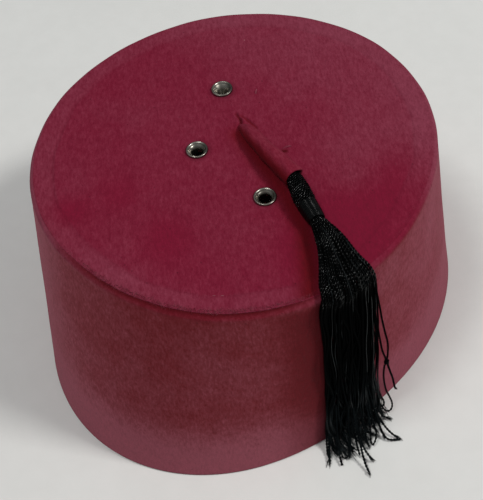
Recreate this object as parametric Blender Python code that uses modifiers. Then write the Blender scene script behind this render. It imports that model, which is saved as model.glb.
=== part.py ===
"""A stiff felt fez that stands on its rim: wall, flat top, stem, three eyelets and a tassel.

Metres, +Z up, with the rim at Z = 0. The rim is an oval, longest along Y, and the wearer
looks along -Y, so the tassel falls over the wearer's left side, +X. The hat's own axis is
upright at X = AXIS_X, which leaves the origin in the middle of the whole footprint.
Distances called reach or way, and bearings in degrees from +X, are taken from that axis.
"""

from collections import namedtuple
from math import cos, hypot, pi, radians, sin

import bmesh
import bpy
from mathutils import Matrix, Vector

# ---- Driving sizes

HEIGHT = 0.0985
TOP_RADIUS = 0.0809
RIM_HALF_WIDTH = 0.0846
RIM_HALF_LENGTH = 0.1017
FELT = 0.0025
GAP = 0.0003
EDGE_ROUND = FELT
FOLD_ROUND = 0.0008
SEAM_ALLOWANCE = 0.0100
SIDES = 96

TASSEL_REACH = 0.1018
AXIS_X = (RIM_HALF_WIDTH - TASSEL_REACH) / 2
AXIS = Vector((AXIS_X, 0, 0))
UP = Vector((0, 0, 1))

# What keeps the two outlines from being a true circle and a true ellipse.
Wave = namedtuple("Wave", "lobes swell bearing")
TOP_WAVES = (
    Wave(2, 0.0010, 90),
    Wave(3, 0.0008, -29),
    Wave(4, 0.0003, -31),
)
RIM_WAVES = (
    Wave(3, 0.0006, 57),
    Wave(4, 0.0006, 28),
)

# Where each eyelet is, from the hat's axis.
Spot = namedtuple("Spot", "name x y")
EYELETS = (
    Spot("eyelet_back", -0.0260, 0.0195),
    Spot("eyelet_middle", -0.0092, -0.0112),
    Spot("eyelet_front", 0.0280, -0.0111),
)
EYELET_STEPS = 24
EYELET_BARREL = 0.0027
EYELET_THROAT = 0.0022
# Half of an eyelet's section as a closed loop: up the dished throat, over the flange, down
# the barrel and round the clinched end. Heights are from the top of the felt.
Turn = namedtuple("Turn", "radius height")
EYELET_PROFILE = (
    Turn(EYELET_THROAT, -0.0016),
    Turn(0.0025, -0.0006),
    Turn(0.0030, 0.0003),
    Turn(0.0035, 0.0008),
    Turn(0.0039, 0.0009),
    Turn(0.0042, 0.0007),
    Turn(0.0044, GAP),
    Turn(EYELET_BARREL, GAP),
    Turn(EYELET_BARREL, -FELT - GAP),
    Turn(0.0038, -FELT - GAP),
    Turn(0.0038, -FELT - 0.0008),
    Turn(0.0032, -FELT - 0.0011),
    Turn(EYELET_THROAT, -FELT - 0.0008),
)

# The stem comes up through a slot in the felt and flops over towards the tassel. Along is the
# distance from ROOT on STEM_BEARING, rise the height of its middle line over the felt.
ROOT = Vector((-0.0065, 0.0104, HEIGHT))
STEM_BEARING = -14.9
STEM_WALL = 0.0010
SOCKET_DEPTH = 0.0070
Section = namedtuple("Section", "along rise radius")
STEM = (
    Section(-0.0062, -0.0040, 0.0014),
    Section(-0.0036, -0.0014, 0.0016),
    Section(-0.0010, 0.0008, 0.0020),
    Section(0.0025, 0.0027, 0.0026),
    Section(0.0070, 0.0038, 0.0033),
    Section(0.0138, 0.0043, 0.0038),
    Section(0.0262, 0.0050, 0.0040),
    Section(0.0388, 0.0060, 0.0037),
)

# The tassel's head: a plug inside the stem, the wound knob, the binding and the neck.
# X and Y are from the hat's axis, rise from the top of the felt.
Bead = namedtuple("Bead", "x y rise radius")
HEAD = (
    Bead(0.0250, 0.0020, 0.0055, 0.0022),
    Bead(0.0300, 0.0007, 0.0059, 0.0023),
    Bead(0.0322, -0.0001, 0.0059, 0.0025),
    Bead(0.0345, -0.0011, 0.0056, 0.0036),
    Bead(0.0385, -0.0029, 0.0052, 0.0039),
    Bead(0.0432, -0.0050, 0.0048, 0.0037),
    Bead(0.0480, -0.0071, 0.0045, 0.0033),
    Bead(0.0530, -0.0093, 0.0042, 0.0032),
    Bead(0.0560, -0.0106, 0.0039, 0.0030),
)

# How the skirt widens: the bearings of its two edges at each distance along the felt, over
# the top, round the edge and down the wall. Lift is the clear height under its lower locks.
Fan = namedtuple("Fan", "way left right lift")
FAN = (
    Fan(0.0545, -11.2, -8.8, 0.0017),
    Fan(0.0580, -12.6, -8.0, 0.0012),
    Fan(0.0680, -17.0, -7.8, GAP),
    Fan(0.0755, -20.0, -8.4, GAP),
    Fan(0.0795, -21.6, -8.6, 0.0005),
    Fan(0.0825, -22.2, -8.5, 0.0006),
    Fan(0.0885, -22.6, -8.0, 0.0005),
    Fan(0.1085, -22.8, -6.6, 0.0004),
    Fan(0.1285, -23.0, -4.4, 0.0004),
    Fan(0.1485, -23.2, -4.0, 0.0005),
    Fan(0.1660, -23.4, -4.6, 0.0010),
)
LOCK_RADIUS = 0.0018
LOCK_TIP_RADIUS = 0.0009
LAYER_STEP = 0.0013
# One row for each lock, from the skirt's left edge to its right: how far across it starts,
# whether it lies on the others, and where its tip comes to rest on the floor.
Lock = namedtuple("Lock", "across layer tip_bearing tip_out")
LOCKS = (
    Lock(0.00, 0, -25.2, 0.0045),
    Lock(0.09, 1, -25.8, 0.0090),
    Lock(0.18, 0, -23.6, 0.0130),
    Lock(0.27, 1, -21.2, 0.0115),
    Lock(0.36, 0, -18.6, 0.0200),
    Lock(0.45, 1, -16.0, 0.0185),
    Lock(0.55, 0, -13.8, 0.0130),
    Lock(0.64, 1, -11.4, 0.0100),
    Lock(0.73, 0, -8.6, 0.0170),
    Lock(0.82, 1, -6.6, 0.0090),
    Lock(0.91, 0, -5.2, 0.0060),
    Lock(1.00, 1, -3.8, 0.0045),
)
# The locks leave the wall a little above the floor and curve out to their tips.
FOOT_HEIGHT = 0.0040
FOOT_SHARE = 0.45

# ---- The scene, its collections and materials

for leftover in list(bpy.data.objects):
    bpy.data.objects.remove(leftover, do_unlink=True)

parts = bpy.data.collections.new("fez")
helpers = bpy.data.collections.new("cutters")
locks = bpy.data.collections.new("tassel_locks")
bpy.context.scene.collection.children.link(parts)
bpy.context.scene.collection.children.link(helpers)
helpers.children.link(locks)


def finish(name, colour, roughness, metallic=0.0):
    """A plain material."""
    made = bpy.data.materials.new(name)
    made.use_nodes = True
    surface = made.node_tree.nodes["Principled BSDF"]
    surface.inputs["Base Color"].default_value = (*colour, 1)
    surface.inputs["Roughness"].default_value = roughness
    surface.inputs["Metallic"].default_value = metallic
    return made


WALL_FELT = finish("wall_felt", (0.130, 0.022, 0.028), 0.95)
TOP_FELT = finish("top_felt", (0.165, 0.014, 0.032), 0.95)
STEM_FELT = finish("stem_felt", (0.150, 0.013, 0.030), 0.95)
NICKEL = finish("nickel", (0.62, 0.60, 0.57), 0.28, 1.0)
THREAD = finish("black_thread", (0.006, 0.006, 0.007), 0.45)


# ---- Shapes shared by the pieces


def place(mesh, name, material=None):
    """An object for a piece of the hat, or for a helper if it has no material."""
    made = bpy.data.objects.new(name, mesh)
    if material:
        parts.objects.link(made)
        mesh.materials.clear()
        mesh.materials.append(material)
        mesh.shade_smooth()
        mesh.set_sharp_from_angle(angle=radians(40))
    else:
        helpers.objects.link(made)
        made.hide_render = True
        made.display_type = "WIRE"
    return made


def loft(name, rings, capped):
    """A mesh over rings of as many points each: its ends are capped, or else they meet."""
    shape = bmesh.new()
    rows = [[shape.verts.new(point) for point in ring] for ring in rings]
    spans = list(zip(rows, rows[1:]))
    if capped:
        shape.faces.new(rows[0])
        shape.faces.new(rows[-1])
    else:
        spans.append((rows[-1], rows[0]))
    for near, far in spans:
        for i in range(len(near)):
            shape.faces.new((near[i - 1], near[i], far[i], far[i - 1]))
    bmesh.ops.recalc_face_normals(shape, faces=shape.faces)
    mesh = bpy.data.meshes.new(name)
    shape.to_mesh(mesh)
    shape.free()
    return mesh


def smooth(stations, steps):
    """Points on a smooth curve through the stations, which may be vectors of any length."""
    ends = [stations[0], *stations, stations[-1]]
    found = []
    for before, start, end, after in zip(ends, ends[1:], ends[2:], ends[3:]):
        for step in range(steps):
            t = step / steps
            found.append(
                start
                + (end - before) * (t / 2)
                + (before * 2 - start * 5 + end * 4 - after) * (t**2 / 2)
                + (start * 3 - before - end * 3 + after) * (t**3 / 2)
            )
    return [*found, stations[-1]]


def tube(name, points, radii, fineness):
    """A closed mesh of a curve's round section along points."""
    curve = bpy.data.curves.new(name, "CURVE")
    curve.dimensions = "3D"
    curve.bevel_depth = 1.0
    curve.bevel_resolution = fineness
    curve.use_fill_caps = True
    spline = curve.splines.new("POLY")
    spline.points.add(len(points) - 1)
    for knot, point, radius in zip(spline.points, points, radii):
        knot.co = (*point, 1)
        knot.radius = radius
    guide = bpy.data.objects.new(name, curve)
    helpers.objects.link(guide)
    graph = bpy.context.evaluated_depsgraph_get()
    mesh = bpy.data.meshes.new_from_object(guide.evaluated_get(graph))
    bpy.data.objects.remove(guide)
    shape = bmesh.new()
    shape.from_mesh(mesh)
    bmesh.ops.remove_doubles(shape, verts=shape.verts, dist=1e-6)
    bmesh.ops.recalc_face_normals(shape, faces=shape.faces)
    shape.to_mesh(mesh)
    shape.free()
    return mesh


def cut(target, name, mesh):
    """Takes the mesh's shape out of the target."""
    tool = place(mesh, name)
    boolean = target.modifiers.new(name, "BOOLEAN")
    boolean.operation = "DIFFERENCE"
    boolean.object = tool


# ---- The hat's outline


def waviness(waves, bearing):
    return sum(wave.swell * cos(wave.lobes * radians(bearing - wave.bearing)) for wave in waves)


def top_reach(bearing):
    return TOP_RADIUS + waviness(TOP_WAVES, bearing)


def rim_reach(bearing):
    along, beside = sin(radians(bearing)), cos(radians(bearing))
    oval = RIM_HALF_WIDTH * RIM_HALF_LENGTH
    oval /= hypot(RIM_HALF_LENGTH * beside, RIM_HALF_WIDTH * along)
    return oval + waviness(RIM_WAVES, bearing)


def wall_reach(bearing, height):
    """How far out the felt is: it slopes straight from the rim to where the edge is round."""
    share = min(height / (HEIGHT - EDGE_ROUND), 1)
    return rim_reach(bearing) + (top_reach(bearing) - rim_reach(bearing)) * share


def outward(bearing):
    return Vector((cos(radians(bearing)), sin(radians(bearing)), 0))


def skin(way, bearing):
    """A point on the felt, way along it from the axis and over the edge, and its normal."""
    across = outward(bearing)
    flat = top_reach(bearing) - EDGE_ROUND
    turn = min(max((way - flat) / EDGE_ROUND, 0), pi / 2)
    normal = across * sin(turn) + UP * cos(turn)
    if way < flat:
        return AXIS + across * way + UP * HEIGHT, normal
    fallen = way - flat - EDGE_ROUND * pi / 2
    if fallen < 0:
        middle = AXIS + across * flat + UP * (HEIGHT - EDGE_ROUND)
        return middle + normal * EDGE_ROUND, normal
    height = HEIGHT - EDGE_ROUND - fallen
    return AXIS + across * wall_reach(bearing, height) + UP * height, normal


def ring(height, inset):
    """The outline at a height, drawn in by inset."""
    points = []
    for side in range(SIDES):
        bearing = 360 * side / SIDES
        reach = wall_reach(bearing, height) - inset
        points.append(AXIS + outward(bearing) * reach + UP * height)
    return points


# ---- crown_side: one felt wall, with its top edge turned in under the flat top

Hem = namedtuple("Hem", "height inset")
WALL_TOP = HEIGHT - FELT - GAP
WALL_LOOP = (
    Hem(0, FOLD_ROUND),
    Hem(FOLD_ROUND * 0.3, FOLD_ROUND * 0.3),
    Hem(FOLD_ROUND, 0),
    Hem(WALL_TOP - FOLD_ROUND, 0),
    Hem(WALL_TOP - FOLD_ROUND * 0.3, FOLD_ROUND * 0.3),
    Hem(WALL_TOP, FOLD_ROUND),
    Hem(WALL_TOP, SEAM_ALLOWANCE),
    Hem(WALL_TOP - FELT, SEAM_ALLOWANCE),
    Hem(WALL_TOP - FELT, FELT),
    Hem(FOLD_ROUND, FELT),
    Hem(0, FELT - FOLD_ROUND),
)
place(
    loft("crown_side", [ring(*hem) for hem in WALL_LOOP], capped=False),
    "crown_side",
    WALL_FELT,
)

# ---- crown_top: a felt disc with a rounded edge, open for the eyelets and the stem

EDGE_STEPS = 6

disc_rings = [ring(HEIGHT - FELT, FOLD_ROUND / 2)]
for step in range(1, EDGE_STEPS + 1):
    slant = pi / 2 * step / EDGE_STEPS
    level = HEIGHT - EDGE_ROUND * (1 - sin(slant))
    disc_rings.append(ring(level, EDGE_ROUND * (1 - cos(slant))))
crown_top = place(loft("crown_top", disc_rings, capped=True), "crown_top", TOP_FELT)


def eyelet_hole(spot):
    """Cuts a round hole through the flat top."""
    shape = bmesh.new()
    bmesh.ops.create_cone(
        shape,
        cap_ends=True,
        segments=EYELET_STEPS,
        radius1=EYELET_BARREL + GAP,
        radius2=EYELET_BARREL + GAP,
        depth=FELT * 4,
        matrix=Matrix.Translation(AXIS + Vector((spot.x, spot.y, HEIGHT))),
    )
    mesh = bpy.data.meshes.new(spot.name)
    shape.to_mesh(mesh)
    shape.free()
    cut(crown_top, f"{spot.name}_hole", mesh)


for spot in EYELETS:
    eyelet_hole(spot)

# ---- The eyelets: one turned section each, clinched under the felt


def eyelet(spot):
    mesh = bpy.data.meshes.new(spot.name)
    corners = [(turn.radius, 0, turn.height) for turn in EYELET_PROFILE]
    edges = [(i, (i + 1) % len(corners)) for i in range(len(corners))]
    mesh.from_pydata(corners, edges, [])
    made = place(mesh, spot.name, NICKEL)
    made.location = AXIS + Vector((spot.x, spot.y, HEIGHT))
    spin = made.modifiers.new("turned", "SCREW")
    spin.steps = EYELET_STEPS
    spin.render_steps = EYELET_STEPS
    spin.use_smooth_shade = True


for spot in EYELETS:
    eyelet(spot)

# ---- stem: a rolled felt tube, its root sewn through the top and its mouth open

STEM_STEPS = 3
stem_way = outward(STEM_BEARING)


stem_rows = smooth([Vector(section) for section in STEM], STEM_STEPS)
stem_points = [AXIS + ROOT + stem_way * along + UP * rise for along, rise, radius in stem_rows]
stem_radii = [radius for along, rise, radius in stem_rows]
stem = place(tube("stem", stem_points, stem_radii, 4), "stem", STEM_FELT)
slot_radii = [radius + GAP for radius in stem_radii]
cut(crown_top, "stem_slot", tube("stem_slot", stem_points, slot_radii, 4))

mouth = stem_points[-1]
mouth_slope = (mouth - stem_points[-2]).normalized()
bore = STEM[-1].radius - STEM_WALL
socket_ends = [mouth - mouth_slope * SOCKET_DEPTH, mouth + mouth_slope * STEM_WALL]
cut(stem, "stem_socket", tube("stem_socket", socket_ends, [bore, bore], 4))

# ---- tassel: head and skirt in one, the skirt in locks over the edge and down the wall

HEAD_STEPS = 2
LOCK_STEPS = 2

head_rows = smooth([Vector(bead) for bead in HEAD], HEAD_STEPS)
head_points = [AXIS + Vector((row[0], row[1], HEIGHT + row[2])) for row in head_rows]
tassel = place(tube("tassel", head_points, [row[3] for row in head_rows], 4), "tassel", THREAD)


def lock_stations(lock):
    """Where a lock's middle line goes: down the fan, then out to its tip on the floor."""
    stations = []
    for fan in FAN:
        bearing = fan.left + (fan.right - fan.left) * lock.across
        point, normal = skin(fan.way, bearing)
        clear = fan.lift + LOCK_RADIUS + lock.layer * LAYER_STEP
        stations.append(point + normal * clear)
    tip_reach = rim_reach(lock.tip_bearing) + lock.tip_out
    tip = AXIS + outward(lock.tip_bearing) * tip_reach + UP * (LOCK_TIP_RADIUS + GAP)
    foot = stations[-1].lerp(tip, FOOT_SHARE)
    foot.z = FOOT_HEIGHT
    return [*stations, foot, tip]


def lock_radius(share):
    """Full along the wall, thinner at the tip."""
    thinning = max(0, share - 0.75) / 0.25
    return LOCK_RADIUS + (LOCK_TIP_RADIUS - LOCK_RADIUS) * thinning


for number, lock in enumerate(LOCKS, 1):
    points = smooth(lock_stations(lock), LOCK_STEPS)
    radii = [lock_radius(i / (len(points) - 1)) for i in range(len(points))]
    strip = place(tube(f"lock_{number}", points, radii, 2), f"lock_{number}")
    helpers.objects.unlink(strip)
    locks.objects.link(strip)

fused = tassel.modifiers.new("locks", "BOOLEAN")
fused.operation = "UNION"
fused.operand_type = "COLLECTION"
fused.collection = locks
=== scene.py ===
"""Looks of a stiff felt fez: felt wall and top, nickel eyelets, a felt stem and a thread tassel.

Metres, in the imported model's frame: +Z up, the rim on Z = 0, the tassel on the +X side.
Bearings are in degrees from +X, round the hat's own upright axis.
"""

from math import cos, pi, radians, sin

import bmesh
import bpy
import numpy as np
from mathutils import Matrix, Vector


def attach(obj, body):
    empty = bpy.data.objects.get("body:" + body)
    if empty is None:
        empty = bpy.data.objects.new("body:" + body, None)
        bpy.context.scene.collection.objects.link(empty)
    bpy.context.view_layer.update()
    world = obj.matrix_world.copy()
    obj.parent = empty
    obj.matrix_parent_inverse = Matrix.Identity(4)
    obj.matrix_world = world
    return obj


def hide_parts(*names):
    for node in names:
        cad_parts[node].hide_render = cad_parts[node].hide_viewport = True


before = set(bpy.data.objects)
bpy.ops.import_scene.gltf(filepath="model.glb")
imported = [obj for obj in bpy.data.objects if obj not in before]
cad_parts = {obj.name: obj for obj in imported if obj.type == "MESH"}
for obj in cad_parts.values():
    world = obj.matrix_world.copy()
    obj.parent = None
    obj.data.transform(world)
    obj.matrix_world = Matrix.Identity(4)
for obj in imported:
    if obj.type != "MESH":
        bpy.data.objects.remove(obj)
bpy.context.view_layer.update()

MM = 0.001
scene = bpy.context.scene

# ---- The table it stands on
# A sheet of matt white card, rubbed and a little dirty, that the rim stands on. It is wide
# enough to run out of every view.

CARD_SIZE = 3.0
CARD_LEVEL = -0.0002


class Reading:
    """A number or colour that a node gives. Sums and products of readings add Math nodes."""

    def __init__(self, recipe, socket):
        self.recipe = recipe
        self.socket = socket

    def math(self, operation, *values):
        inputs = dict(enumerate(values))
        return self.recipe.node("ShaderNodeMath", {"operation": operation}, inputs)

    def __add__(self, other):
        return self.math("ADD", self, other)

    def __sub__(self, other):
        return self.math("SUBTRACT", self, other)

    def __rsub__(self, other):
        return self.math("SUBTRACT", other, self)

    def __mul__(self, other):
        return self.math("MULTIPLY", self, other)

    def __truediv__(self, other):
        return self.math("DIVIDE", self, other)

    __radd__ = __add__
    __rmul__ = __mul__

    def at_least(self, other):
        return self.math("MAXIMUM", self, other)

    def size(self):
        return self.math("ABSOLUTE", self)

    def rising(self, low, high):
        """0 below low, 1 above high, and smooth between them."""
        settings = {"interpolation_type": "SMOOTHSTEP"}
        inputs = {"Value": self, "From Min": low, "From Max": high}
        return self.recipe.node("ShaderNodeMapRange", settings, inputs)


class Recipe:
    """A node tree in the making, of a finish or of a repeated shape."""

    def node(self, kind, settings, inputs, output=0):
        """Adds a node: its settings, then its sockets' values or links. Gives one output."""
        made = self.tree.nodes.new(kind)
        for name, value in settings.items():
            setattr(made, name, value)
        for name, value in inputs.items():
            self.join(value, made.inputs[name])
        return Reading(self, made.outputs[output])

    def join(self, value, socket):
        if isinstance(value, Reading):
            self.tree.links.new(value.socket, socket)
        else:
            socket.default_value = value

    def scaled(self, vector, share):
        """The vector or colour, made longer or shorter, lighter or darker."""
        inputs = {0: vector, "Scale": share}
        return self.node("ShaderNodeVectorMath", {"operation": "SCALE"}, inputs)


class Finish(Recipe):
    """A material in the making. The constants go straight onto its shader's sockets."""

    def __init__(self, name, constants):
        self.material = bpy.data.materials.new(name)
        self.material.use_nodes = True
        self.tree = self.material.node_tree
        self.shader = self.tree.nodes["Principled BSDF"]
        for socket, value in constants.items():
            self.feed(socket, value)

    def feed(self, socket, value):
        self.join(value, self.shader.inputs[socket])

    def place(self, stretch=(1, 1, 1), turn=0.0):
        """The piece's own coordinates in millimetres, turned about Z and divided by stretch."""
        own = self.node("ShaderNodeTexCoord", {}, {}, "Object")
        turned = self.node("ShaderNodeMapping", {}, {"Vector": own, "Rotation": (0, 0, turn)})
        inputs = {0: turned, 1: [1 / (MM * share) for share in stretch]}
        return self.node("ShaderNodeVectorMath", {"operation": "MULTIPLY"}, inputs)

    def cloud(self, where, size, detail=3.0, roughness=0.55, warp=0.0):
        """Soft noise from 0 to 1 whose patches are about size across."""
        inputs = {"Vector": where, "Scale": 1 / size, "Detail": detail, "Roughness": roughness}
        return self.node("ShaderNodeTexNoise", {}, {**inputs, "Distortion": warp})

    def specks(self, where, spacing, size, share):
        """1 inside rare dots of that size, which a share of the cells hold."""
        inputs = {"Vector": where, "Scale": 1 / spacing}
        near = self.node("ShaderNodeTexVoronoi", {}, inputs, "Distance")
        tint = self.node("ShaderNodeTexVoronoi", {}, inputs, "Color")
        lot = self.node("ShaderNodeSeparateColor", {}, {"Color": tint}, "Red")
        inside = 1 - near.rising(size / spacing * 0.5, size / spacing)
        return inside * lot.rising(1 - share, 1 - share + 0.01)

    def painted(self, label):
        """What was painted on the mesh's points under that name."""
        return self.node("ShaderNodeAttribute", {"attribute_name": label}, {}, "Fac")

    def blend(self, share, first, second):
        """The first colour where share is 0, the second where it is 1."""
        settings = {"data_type": "RGBA", "clamp_factor": True}
        inputs = {0: share, 6: opaque(first), 7: opaque(second)}
        return self.node("ShaderNodeMix", settings, inputs, 2)

    def dress(self, colour, roughness, relief=None, depth=0.0):
        """Feeds the shader a colour, a roughness and a relief whose full height is depth."""
        self.feed("Base Color", colour)
        self.feed("Roughness", roughness)
        if relief:
            inputs = {"Height": relief, "Distance": depth, "Strength": 1.0}
            self.feed("Normal", self.node("ShaderNodeBump", {}, inputs))


def opaque(colour):
    return colour if isinstance(colour, Reading) else (*colour, 1.0)


def meshed(name, points, edges, faces):
    mesh = bpy.data.meshes.new(name)
    mesh.from_pydata(points, edges, faces)
    return mesh


def added(name, data):
    """An object made of that data, in the scene."""
    made = bpy.data.objects.new(name, data)
    scene.collection.objects.link(made)
    return made


card = Finish("white_card", {"Specular IOR Level": 0.25})
spread = card.place()
smudge = card.cloud(spread, 60, 4.0) * 0.6 + card.cloud(spread, 9, 3.0) * 0.4
card.dress(
    card.blend(smudge.rising(0.3, 0.7), (0.752, 0.757, 0.738), (0.785, 0.790, 0.772)),
    card.cloud(spread, 25, 2.0) * 0.2 + 0.6,
    card.cloud(spread, 1.2, 3.0),
    0.00004,
)
half = CARD_SIZE / 2
corners = [(x * half, y * half, CARD_LEVEL) for x, y in ((-1, -1), (1, -1), (1, 1), (-1, 1))]
card_mesh = meshed("card", corners, [], [(0, 1, 2, 3)])
card_mesh.materials.append(card.material)
table = added("card", card_mesh)

# ---- Camera and light
# A hand-held camera looks down over the tassel's side. The room has a broad window to the
# right and behind, a ceiling panel to the left in front, and pale walls all round.

CAMERA_PLACE = (0.2006, -0.1755, 0.3880)
CAMERA_AZIMUTH = radians(50.46)
CAMERA_ELEVATION = radians(52.66)
CAMERA_ROLL = radians(-7.47)
CAMERA_LENS = 72.0
CAMERA_FILM = 36.0
LIT_POINT = Vector((0, 0, 0.05))
LAMP_DISTANCE = 2.2

level = Vector((cos(CAMERA_AZIMUTH), sin(CAMERA_AZIMUTH), 0))
behind = Vector((level.y, -level.x, 0)) * cos(CAMERA_ELEVATION)
behind.z = sin(CAMERA_ELEVATION)
right = level * cos(CAMERA_ROLL) + behind.cross(level) * sin(CAMERA_ROLL)
camera = added("camera", bpy.data.cameras.new("camera"))
camera.data.lens = CAMERA_LENS
camera.data.sensor_width = CAMERA_FILM
turned = Matrix((right, behind.cross(right), behind)).transposed().to_4x4()
camera.matrix_world = Matrix.Translation(CAMERA_PLACE) @ turned
scene.camera = camera


def lamp(name, bearing, elevation, size, power, colour):
    """A square soft light that faces the hat."""
    light = bpy.data.lights.new(name, "AREA")
    light.size = size
    light.energy = power
    light.color = colour
    made = added(name, light)
    bearing, elevation = radians(bearing), radians(elevation)
    towards = Vector((cos(bearing), sin(bearing), 0)) * cos(elevation)
    towards.z = sin(elevation)
    made.location = LIT_POINT + towards * LAMP_DISTANCE
    made.rotation_euler = towards.to_track_quat("Z", "Y").to_euler()


lamp("window", 33.6, 50, 0.36, 23.2, (1.0, 0.99, 0.965))
lamp("ceiling_panel", -108, 71, 0.50, 14.0, (1.0, 0.995, 0.98))
room = bpy.data.worlds.new("room")
room.use_nodes = True
walls = room.node_tree.nodes["Background"]
walls.inputs["Color"].default_value = (0.95, 0.975, 1.0, 1)
walls.inputs["Strength"].default_value = 0.255
scene.world = room
scene.view_settings.view_transform = "Standard"

# ---- crown_side: the felt wall
# One strip of stiff wool felt, blocked to an oval rim. Its lower edge is cut square. Its upper
# edge is rolled in over the brink to a sunk seam, and goes on as an allowance under the top.

HEIGHT = 0.0985
TOP_RADIUS = 0.0809
RIM_HALF_WIDTH = 0.0846
RIM_HALF_LENGTH = 0.1017
FELT = 0.0025
EDGE_ROUND = FELT
EDGE_LEVEL = HEIGHT - EDGE_ROUND
AXIS_X = (RIM_HALF_WIDTH - 0.1018) / 2
# Each wave has its lobes all round, its swell and the bearing of a crest.
TOP_WAVES = ((2, 0.0010, 90), (3, 0.0008, -29), (4, 0.0003, -31))
RIM_WAVES = ((3, 0.0006, 57), (4, 0.0006, 28))
WALL_SIDES = 320
CORNER_ROWS = 6
UPRIGHT_ROWS = 48
BRINK_ROWS = 14
INNER_ROWS = 14
RIM_CORNER = 0.0008
INNER_BEND = 0.0018
BED = HEIGHT - FELT - 0.0002
SEAM_INSET = 0.0024
SEAM_ROLL = 0.0006
SEAM_TURN = 68
SEAM_ALLOWANCE = 0.0100
ALLOWANCE_END = SEAM_ALLOWANCE - 0.0012
# The felt's deep and dusty colours where it faces up.
FACING_UP = ((0.172, 0.0056, 0.0250), (0.214, 0.0380, 0.0660))
# Painted shade: the deep colour the felt is painted in cast shadows, creases and folds. And the
# colour of stray lint.
PAINTED_SHADE_COLOUR = (0.146, 0.0024, 0.0070)
LINT = (0.40, 0.17, 0.19)
# Paler low down, for dust and painted bounce light, and on the sides, for dust and painted light
# and sheen: how much, round which bearing, how far either way.
LOW_DUST_AND_BOUNCE = ((0.22, -60, 70), (0.05, 25, 45))
SIDES_DUST_AND_LIGHT = ((0.18, 12, 70), (0.34, 46, 40), (1.13, 205, 85))


def waviness(waves, bearing):
    return sum(swell * np.cos(lobes * np.radians(bearing - where)) for lobes, swell, where in waves)


def top_reach(bearing):
    return TOP_RADIUS + waviness(TOP_WAVES, bearing)


def rim_reach(bearing):
    along, beside = np.sin(np.radians(bearing)), np.cos(np.radians(bearing))
    oval = RIM_HALF_WIDTH * RIM_HALF_LENGTH
    oval = oval / np.hypot(RIM_HALF_LENGTH * beside, RIM_HALF_WIDTH * along)
    return oval + waviness(RIM_WAVES, bearing)


def wall_reach(bearing, height):
    """How far from the axis the felt's outer face is."""
    share = np.minimum(height / EDGE_LEVEL, 1)
    return rim_reach(bearing) + (top_reach(bearing) - rim_reach(bearing)) * share


def around(bearing, reach, height):
    """Points at these bearings, reaches and heights, one row each."""
    bearing, reach, height = np.broadcast_arrays(bearing, reach, height)
    turn = np.radians(bearing)
    return np.stack([AXIS_X + reach * np.cos(turn), reach * np.sin(turn), height], axis=-1)


def arc(middle_height, middle_inset, radius, start, end, steps):
    """Height and inset of points on a rounded corner, with angles from straight outwards."""
    turn = np.radians(np.linspace(start, end, steps))
    return list(zip(middle_height + radius * np.sin(turn), middle_inset - radius * np.cos(turn)))


def paint(mesh, label, values):
    """Gives each point of the mesh a number that its finish reads."""
    made = mesh.attributes.new(label, "FLOAT", "POINT")
    made.data.foreach_set("value", np.ascontiguousarray(values, dtype=np.float32).ravel())


def shell(name, rows, ring_closed, capped=True, **marks):
    """A mesh over rows of points round the hat. The rows close on each other, or are capped.
    Each mark is painted on it."""
    count, sides = rows.shape[:2]
    corner = np.arange(count * sides).reshape(count, sides)
    beyond = np.roll(corner, -1, axis=0)
    if not ring_closed:
        corner, beyond = corner[:-1], beyond[:-1]
    quads = [corner, np.roll(corner, -1, axis=1), np.roll(beyond, -1, axis=1), beyond]
    faces = np.stack(quads, axis=-1).reshape(-1, 4).tolist()
    if capped and not ring_closed:
        faces.append(list(range(sides - 1, -1, -1)))
        faces.append(list(range((count - 1) * sides, count * sides)))
    mesh = meshed(name, rows.reshape(-1, 3).tolist(), [], faces)
    mesh.shade_smooth()
    for label, values in marks.items():
        paint(mesh, label, np.broadcast_to(values, rows.shape[:2]))
    return mesh


def piece(name, mesh, material, slot, *nodes):
    """An object of the hat, which rides with it and stands for CAD nodes."""
    if material:
        mesh.materials.clear()
        mesh.materials.append(material)
    made = added(name, mesh)
    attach(made, "root")
    if nodes:
        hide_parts(*nodes)


def sway(bearing, height):
    """How far blocked felt stands off its true outline: long shallow waves."""
    turn = np.radians(bearing)
    swell = 0.16 * np.sin(3 * turn + 1.3 + 22 * height) + 0.11 * np.sin(7 * turn - 35 * height)
    swell = swell + 0.07 * np.sin(13 * turn + 60 * height + 0.7)
    swell = swell + 0.04 * np.sin(29 * turn - 110 * height)
    return swell * MM


def eased(value, low, high):
    """0 below low, 1 above high, and smooth between them, for arrays."""
    share = np.clip((value - low) / (high - low), 0, 1)
    return share * share * (3 - 2 * share)


def facing(bearing, middle, spread):
    """1 at the middle bearing, falling to 0 that many degrees to either side of it."""
    return 1 - eased(np.abs((bearing - middle + 180) % 360 - 180), 0, spread)


def patches(table):
    """The sum of a table's patches round the hat."""
    return sum(amount * facing(bearings, middle, spread) for amount, middle, spread in table)


def seam_shown(bearing):
    """How far the top's seam shows: it is sunk at the front, and worn flat all round the rest."""
    return np.clip(1.6 * facing(bearing, -58, 58), 0, 1)


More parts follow.
